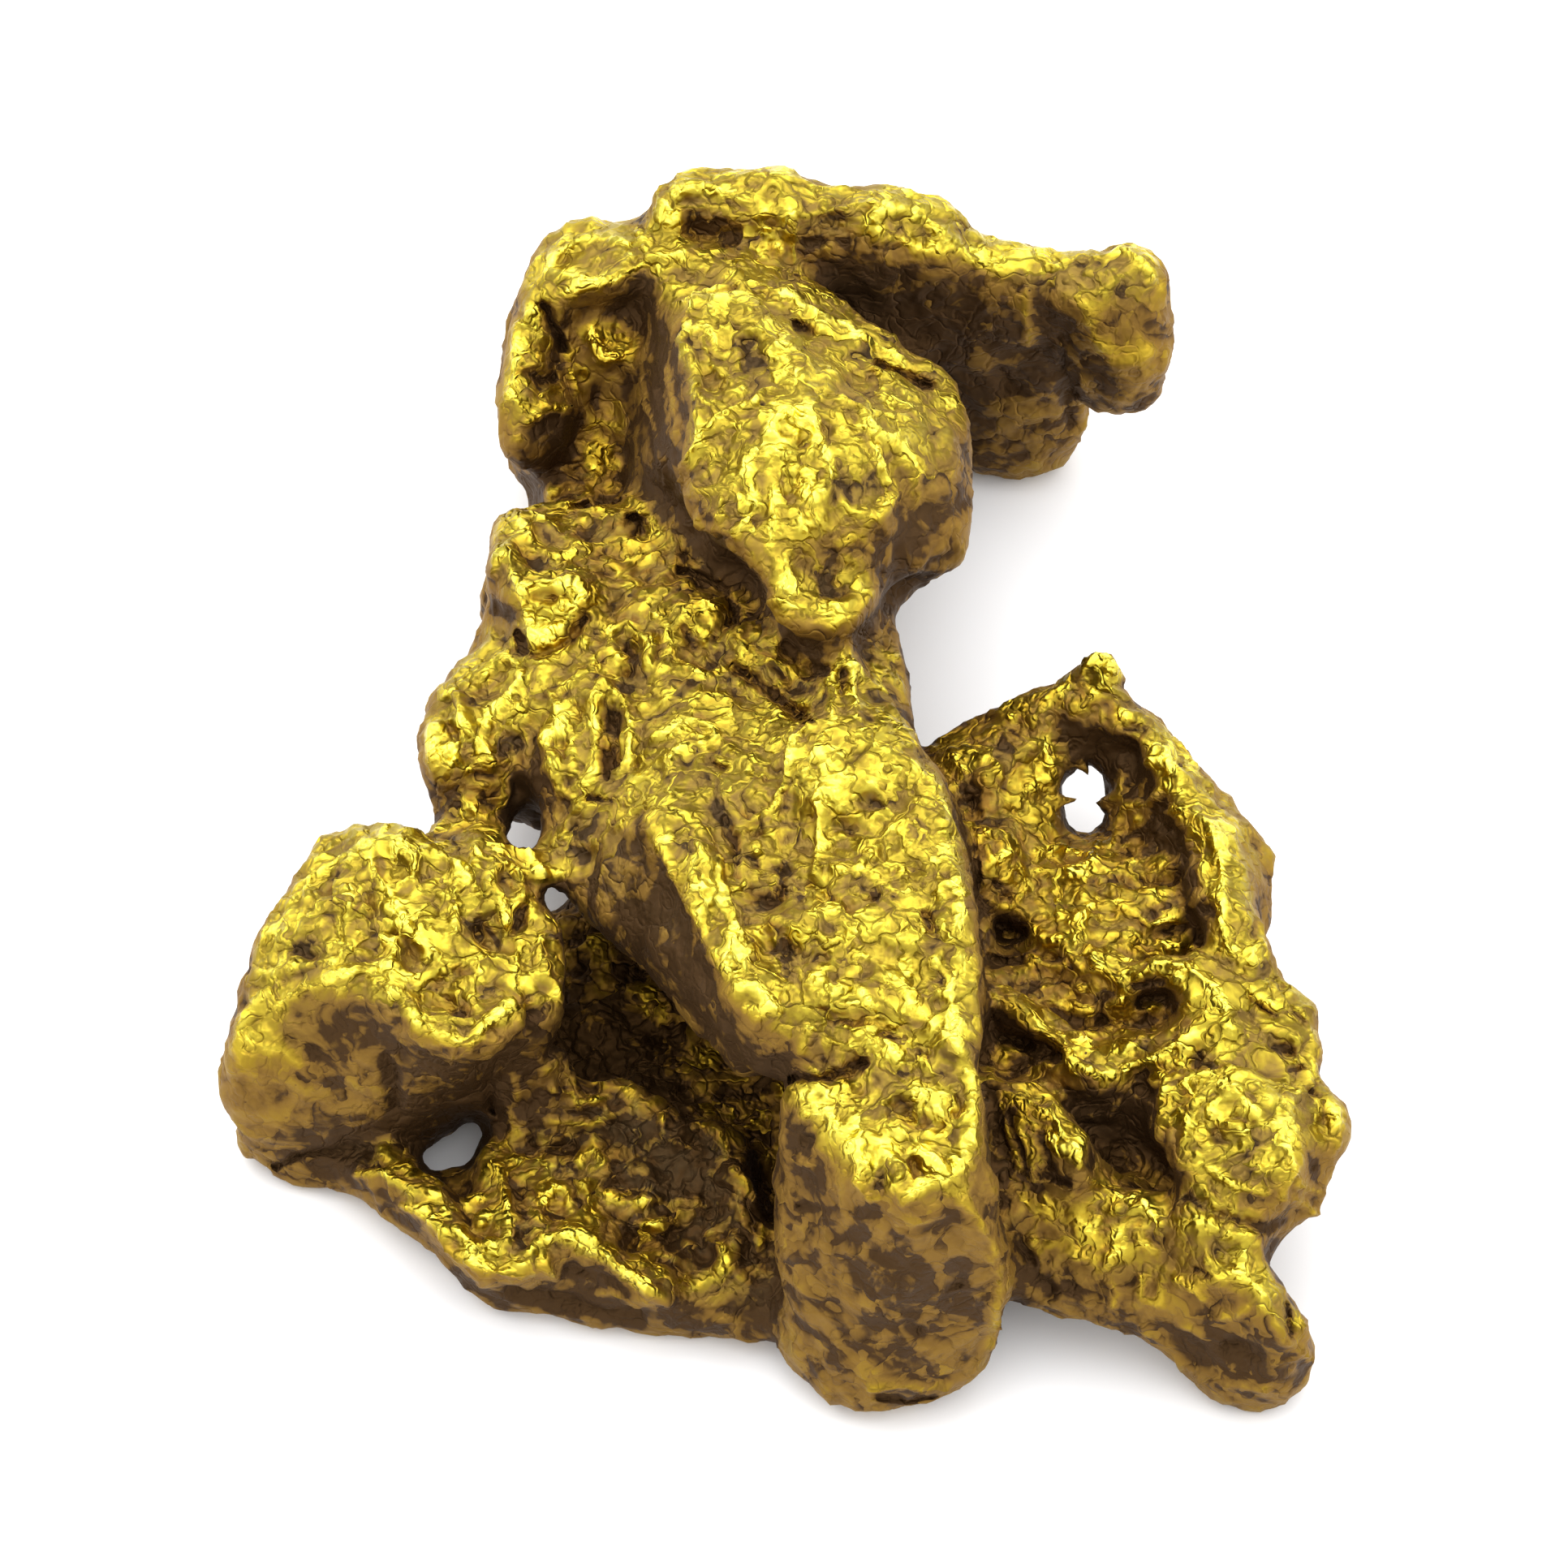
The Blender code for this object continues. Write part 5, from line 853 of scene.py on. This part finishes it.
def worn_gold_with_painted_light(metal):
    """Native gold rubbed by gravel, yellow where it is rubbed and brown in its creases, with painted light
    and shade: brighter on tops that face the sky, and darker on flanks and in hollows that see little sky,
    down to black painted shade.
    """
    material = bpy.data.materials.new("water-worn native gold")
    material.use_nodes = True
    tree = material.node_tree
    tree.nodes.clear()
    place = node(tree, "ShaderNodeTexCoord").outputs["Object"]
    parts = {name: node(tree, "ShaderNodeAttribute", attribute_name=name).outputs["Fac"]
             for name in ("open_sky", "crown", "hill", "wear", "skyward")}
    # thin flakes of metal, each with a dark edge where the next one overlaps it
    sway = node(tree, "ShaderNodeTexNoise", {"Vector": place, "Scale": 1 / metal.crack, "Detail": 3.0})
    bend = (metal.flake * FLAKE_SWAY,) * 3
    bent = maths(tree, "MULTIPLY_ADD", sway.outputs["Color"], bend, place, kind=VECTORS)
    flake = node(tree, "ShaderNodeTexVoronoi", {"Vector": bent, "Scale": 1 / metal.flake},
                 feature="DISTANCE_TO_EDGE")
    flake = spread(tree, flake.outputs["Distance"], FLAKE_EDGE)
    # every flake leans its own way and has its own tone
    cell = node(tree, "ShaderNodeTexVoronoi", {"Vector": bent, "Scale": 1 / metal.flake})
    arm = maths(tree, "SUBTRACT", bent, cell.outputs["Position"], kind=VECTORS)
    way = maths(tree, "SUBTRACT", cell.outputs["Color"], (0.5,) * 3, kind=VECTORS)
    lean = maths(tree, "DOT_PRODUCT", arm, way, kind=VECTORS, result="Value")
    # the fine cracks between sheets of flakes
    crack = maths(tree, "ABSOLUTE", maths(tree, "SUBTRACT", sway.outputs["Fac"], 0.5))
    crack = spread(tree, crack, CRACK_EDGE)
    height = maths(tree, "MULTIPLY_ADD", crack, CRACK_HEIGHT, flake)
    height = maths(tree, "MULTIPLY_ADD", lean, FLAKE_LEAN / metal.flake, height)
    # patches about a millimetre across that gravel has missed
    patch = node(tree, "ShaderNodeTexNoise", {"Vector": place, "Scale": PATCHES, "Detail": 5.0,
                                              "Distortion": 1.5})
    patch = spread(tree, patch.outputs["Fac"], PATCH_EDGE, interpolation_type="SMOOTHSTEP")
    # tops are calmer than flanks
    calm = spread(tree, parts["skyward"], (0.0, 1.0), (TOP_CALM, 1.0))
    parts["flakes"] = maths(tree, "MULTIPLY", height, calm)
    parts["specks"] = maths(tree, "MULTIPLY", cell.outputs["Color"], calm)
    parts["patches"] = maths(tree, "MULTIPLY", patch, calm)
    # Painted light and shade: open_sky darkens what sees little sky, skyward brightens tops that face the
    # sky, and the strokes' marks darken fronts, hollows and pits.
    tone = TONE_START
    for name, share in TONE_SHARES.items():
        tone = maths(tree, "MULTIPLY_ADD", parts[name], share, tone)
    ramp = node(tree, "ShaderNodeValToRGB", {"Fac": tone})
    codes = (metal.hollow_shade, metal.umber_and_shade, metal.stain_and_shade, metal.dull, metal.body, metal.rubbed_and_lit)
    while len(ramp.color_ramp.elements) < len(codes):
        ramp.color_ramp.elements.new(0.5)
    for element, position, code in zip(ramp.color_ramp.elements, TONE_STOPS, codes):
        element.position = position
        element.color = linear(code)
    # Painted reflection and light: where little sky is open the gold takes the warm tint of gold reflected in
    # gold, tops that face the sky the tint of lit gold, and flanks a copper tint that is partly iron stain
    # and partly painted reflection.
    open_tint = mixed(tree, spread(tree, parts["open_sky"], OPEN_BOWL), linear(metal.bowl_reflection_tint),
                      linear(metal.sky_lit_tint))
    tint = mixed(tree, parts["skyward"], linear(metal.stained_and_reflected_tint), open_tint)
    bump = node(tree, "ShaderNodeBump", {"Height": parts["flakes"], "Strength": 1.0,
                                         "Distance": metal.relief})
    shader = node(tree, "ShaderNodeBsdfPrincipled", {
        "Base Color": mixed(tree, 1.0, ramp.outputs["Color"], tint, blend_type="MULTIPLY"),
        "Metallic": spread(tree, tone, BARE_TONES, CRUST),
        "Roughness": spread(tree, tone, ROUGH_TONES, (metal.dullness, metal.shine)),
        "Specular IOR Level": GLINT,
        "Normal": bump.outputs["Normal"],
    })
    node(tree, "ShaderNodeOutputMaterial", {"Surface": shader.outputs["BSDF"]})
    return material


def roughened(worked, sizes):
    """Dents the surface, folds it and covers it in crumbs, as gravel leaves soft metal."""
    facing = worked.facing(CRISP)
    calm = FLANK_CALM + (1.0 - FLANK_CALM) * skyward(worked)
    rise = []
    for place in worked.points.tolist():
        place = Vector(place)
        bent = place / sizes.fold_size + noise.noise_vector(place / sizes.fold_size) * FOLD_BEND
        dent = noise.noise(place / sizes.dent_size)
        fold = noise.ridged_multi_fractal(bent, *FOLD_NOISE) - FOLD_MIDDLE
        crumb = noise.turbulence(place / sizes.crumb_size, CRUMB_OCTAVES, True) - CRUMB_MIDDLE
        rise.append(sizes.dent_depth * dent + sizes.fold_height * fold + sizes.crumb_height * crumb)
    worked.points += facing * (np.array(rise) * calm)[:, None]


def skyward(worked):
    """How much each part of the surface faces the open sky, 0 for the flanks and 1 for the tops."""
    share = np.clip((worked.facing(WHOLE) @ np.array(SKYWARD) - FLANK) / FLANK_TO_TOP, 0.0, 1.0)
    return share * share * (3.0 - 2.0 * share)


def sky_share(worked, looks, reach):
    """For each point, the share of ways out of the surface that meet nothing of the nugget within reach."""
    seen = worked.look()
    facing = worked.facing()
    ways = np.random.default_rng(LOOKS_SEED).normal(size=(len(worked.points), looks, 3))
    ways /= np.linalg.norm(ways, axis=2)[:, :, None]
    ways += facing[:, None, :] * OUTWARD
    ways /= np.linalg.norm(ways, axis=2)[:, :, None]
    starts = worked.points + facing * LOOK_START
    share = np.zeros(len(worked.points))
    for at, (start, around) in enumerate(zip(starts.tolist(), ways.tolist())):
        share[at] = sum(seen.ray_cast(start, way, reach)[0] is None for way in around) / looks
    return share


def about_half(values):
    """Values around 0 as values around a half, kept between 0 and 1."""
    return np.clip(0.5 + 0.5 * values, 0.0, 1.0)


def store(thing, name, values):
    """Keeps a number for each point of an object's mesh, under this name."""
    kept = thing.data.attributes.new(name, "FLOAT", "POINT")
    kept.data.foreach_set("value", values.astype(np.float32))


class NUGGET_OT_surface(bpy.types.Operator):
    """Works the nugget's fine surface over its plain solid"""

    bl_idname = "nugget.surface"
    bl_label = "Work the surface"

    def execute(self, context):
        sizes = context.scene.nugget_surface
        nugget = bpy.data.objects.new("worked_nugget", SOLID.data.copy())
        context.scene.collection.objects.link(nugget)
        nugget.data.materials.clear()
        remesh(nugget, sizes.grain)
        worked = Worked(nugget)
        worked.points = smoothed(worked.points, worked.edges, sizes.evening)
        shape(worked, sizes.slim, sizes.force)
        worked.points += worked.facing(FINE) * sizes.proud
        roughened(worked, sizes)
        worked.close()
        # each square of the even mesh makes two triangles
        thin = nugget.modifiers.new("thin", "DECIMATE")
        thin.ratio = min(1.0, sizes.triangles / (2 * len(nugget.data.polygons)))
        apply_all(nugget)
        worked = Worked(nugget)
        worked.points[:, 2] = np.maximum(worked.points[:, 2], 0.0)
        even = smoothed(worked.points, worked.edges, CROWN_PASSES)
        crown = ((worked.points - even) * worked.facing(FINE)).sum(1) / (CROWN_HEIGHT * MM)
        broad = smoothed(even, worked.edges, HILL_PASSES)
        hill = ((even - broad) * worked.facing(BROAD)).sum(1) / (HILL_HEIGHT * MM)
        worked.close()
        sunny = skyward(worked)
        store(nugget, "crown", about_half(crown * (FLANK_CROWN + (1.0 - FLANK_CROWN) * sunny)))
        store(nugget, "hill", about_half(hill))
        store(nugget, "wear", rubbed_and_painted_by_strokes(worked, sizes.slim))
        # Painted light and shade: skyward brightens the tops, and open_sky darkens what sees little sky
        store(nugget, "skyward", sunny)
        store(nugget, "open_sky", sky_share(worked, sizes.looks, sizes.reach))
        nugget.data.materials.append(worn_gold_with_painted_light(context.scene.nugget_metal))
        nugget.data.shade_smooth()
        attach(nugget, "root")
        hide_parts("nugget")
        return {"FINISHED"}


class NUGGET_OT_table(bpy.types.Operator):
    """Makes the pale table, the studio lights and the camera"""

    bl_idname = "nugget.table"
    bl_label = "Set the table"

    def execute(self, context):
        scene = context.scene
        sizes = scene.nugget_table
        bpy.ops.mesh.primitive_plane_add(size=sizes.table_size)
        table = context.object
        table.name = "table"
        paper = bpy.data.materials.new("matt white paper")
        paper.use_nodes = True
        shader = paper.node_tree.nodes["Principled BSDF"]
        shader.inputs["Base Color"].default_value = linear(sizes.paper)
        shader.inputs["Roughness"].default_value = PAPER_ROUGHNESS
        table.data.materials.append(paper)
        middle = on_table(0.0, 0.0, VIEW_HEIGHT)
        for name, brightness, way, rise in LIGHTS:
            lamp = bpy.data.lights.new(name, "AREA")
            lamp.size = LIGHT_SIZE
            lamp.energy = getattr(sizes, brightness) * math.pi * LIGHT_SIZE ** 2
            holder = bpy.data.objects.new(name, lamp)
            scene.collection.objects.link(holder)
            way, rise = math.radians(way), math.radians(rise)
            out = Vector((math.sin(way) * math.cos(rise), math.cos(way) * math.cos(rise), math.sin(rise)))
            holder.location = middle + out * LIGHT_AWAY
            holder.rotation_euler = out.to_track_quat("Z", "Y").to_euler()
        world = bpy.data.worlds.new("room")
        world.use_nodes = True
        world.node_tree.nodes["Background"].inputs["Strength"].default_value = sizes.room
        world.node_tree.nodes["Background"].inputs["Color"].default_value = WHITE
        scene.world = world
        camera = bpy.data.objects.new("camera", bpy.data.cameras.new("camera"))
        scene.collection.objects.link(camera)
        camera.data.lens = LENS
        camera.data.sensor_width = SENSOR
        camera.data.clip_start = VIEW_START
        camera.location = middle - SIGHT * VIEW_WIDTH * MM * LENS / SENSOR
        camera.rotation_euler = SIGHT.to_track_quat("-Z", "Y").to_euler()
        scene.camera = camera
        scene.view_settings.view_transform = "Standard"
        scene.cycles.max_bounces = 6
        scene.cycles.glossy_bounces = 4
        scene.cycles.diffuse_bounces = 3
        return {"FINISHED"}


class NUGGET_PT_bench(bpy.types.Panel):
    """Lists the nugget's sizes and steps"""

    bl_idname = "NUGGET_PT_bench"
    bl_label = "Gold nugget"
    bl_space_type = "VIEW_3D"
    bl_region_type = "UI"
    bl_category = "Nugget"

    def draw(self, context):
        for group in (context.scene.nugget_surface, context.scene.nugget_metal, context.scene.nugget_table):
            for name in group.__annotations__:
                self.layout.prop(group, name)
        self.layout.operator(NUGGET_OT_table.bl_idname)
        self.layout.operator(NUGGET_OT_surface.bl_idname)


CLASSES = (NuggetSurface, NuggetMetal, NuggetTable, NUGGET_OT_surface, NUGGET_OT_table, NUGGET_PT_bench)


def register():
    for kind in CLASSES:
        bpy.utils.register_class(kind)
    bpy.types.Scene.nugget_surface = PointerProperty(type=NuggetSurface)
    bpy.types.Scene.nugget_metal = PointerProperty(type=NuggetMetal)
    bpy.types.Scene.nugget_table = PointerProperty(type=NuggetTable)


def unregister():
    del bpy.types.Scene.nugget_table
    del bpy.types.Scene.nugget_metal
    del bpy.types.Scene.nugget_surface
    for kind in reversed(CLASSES):
        bpy.utils.unregister_class(kind)


def main():
    register()
    bpy.ops.nugget.table()
    bpy.ops.nugget.surface()


if __name__ == "__main__":
    main()
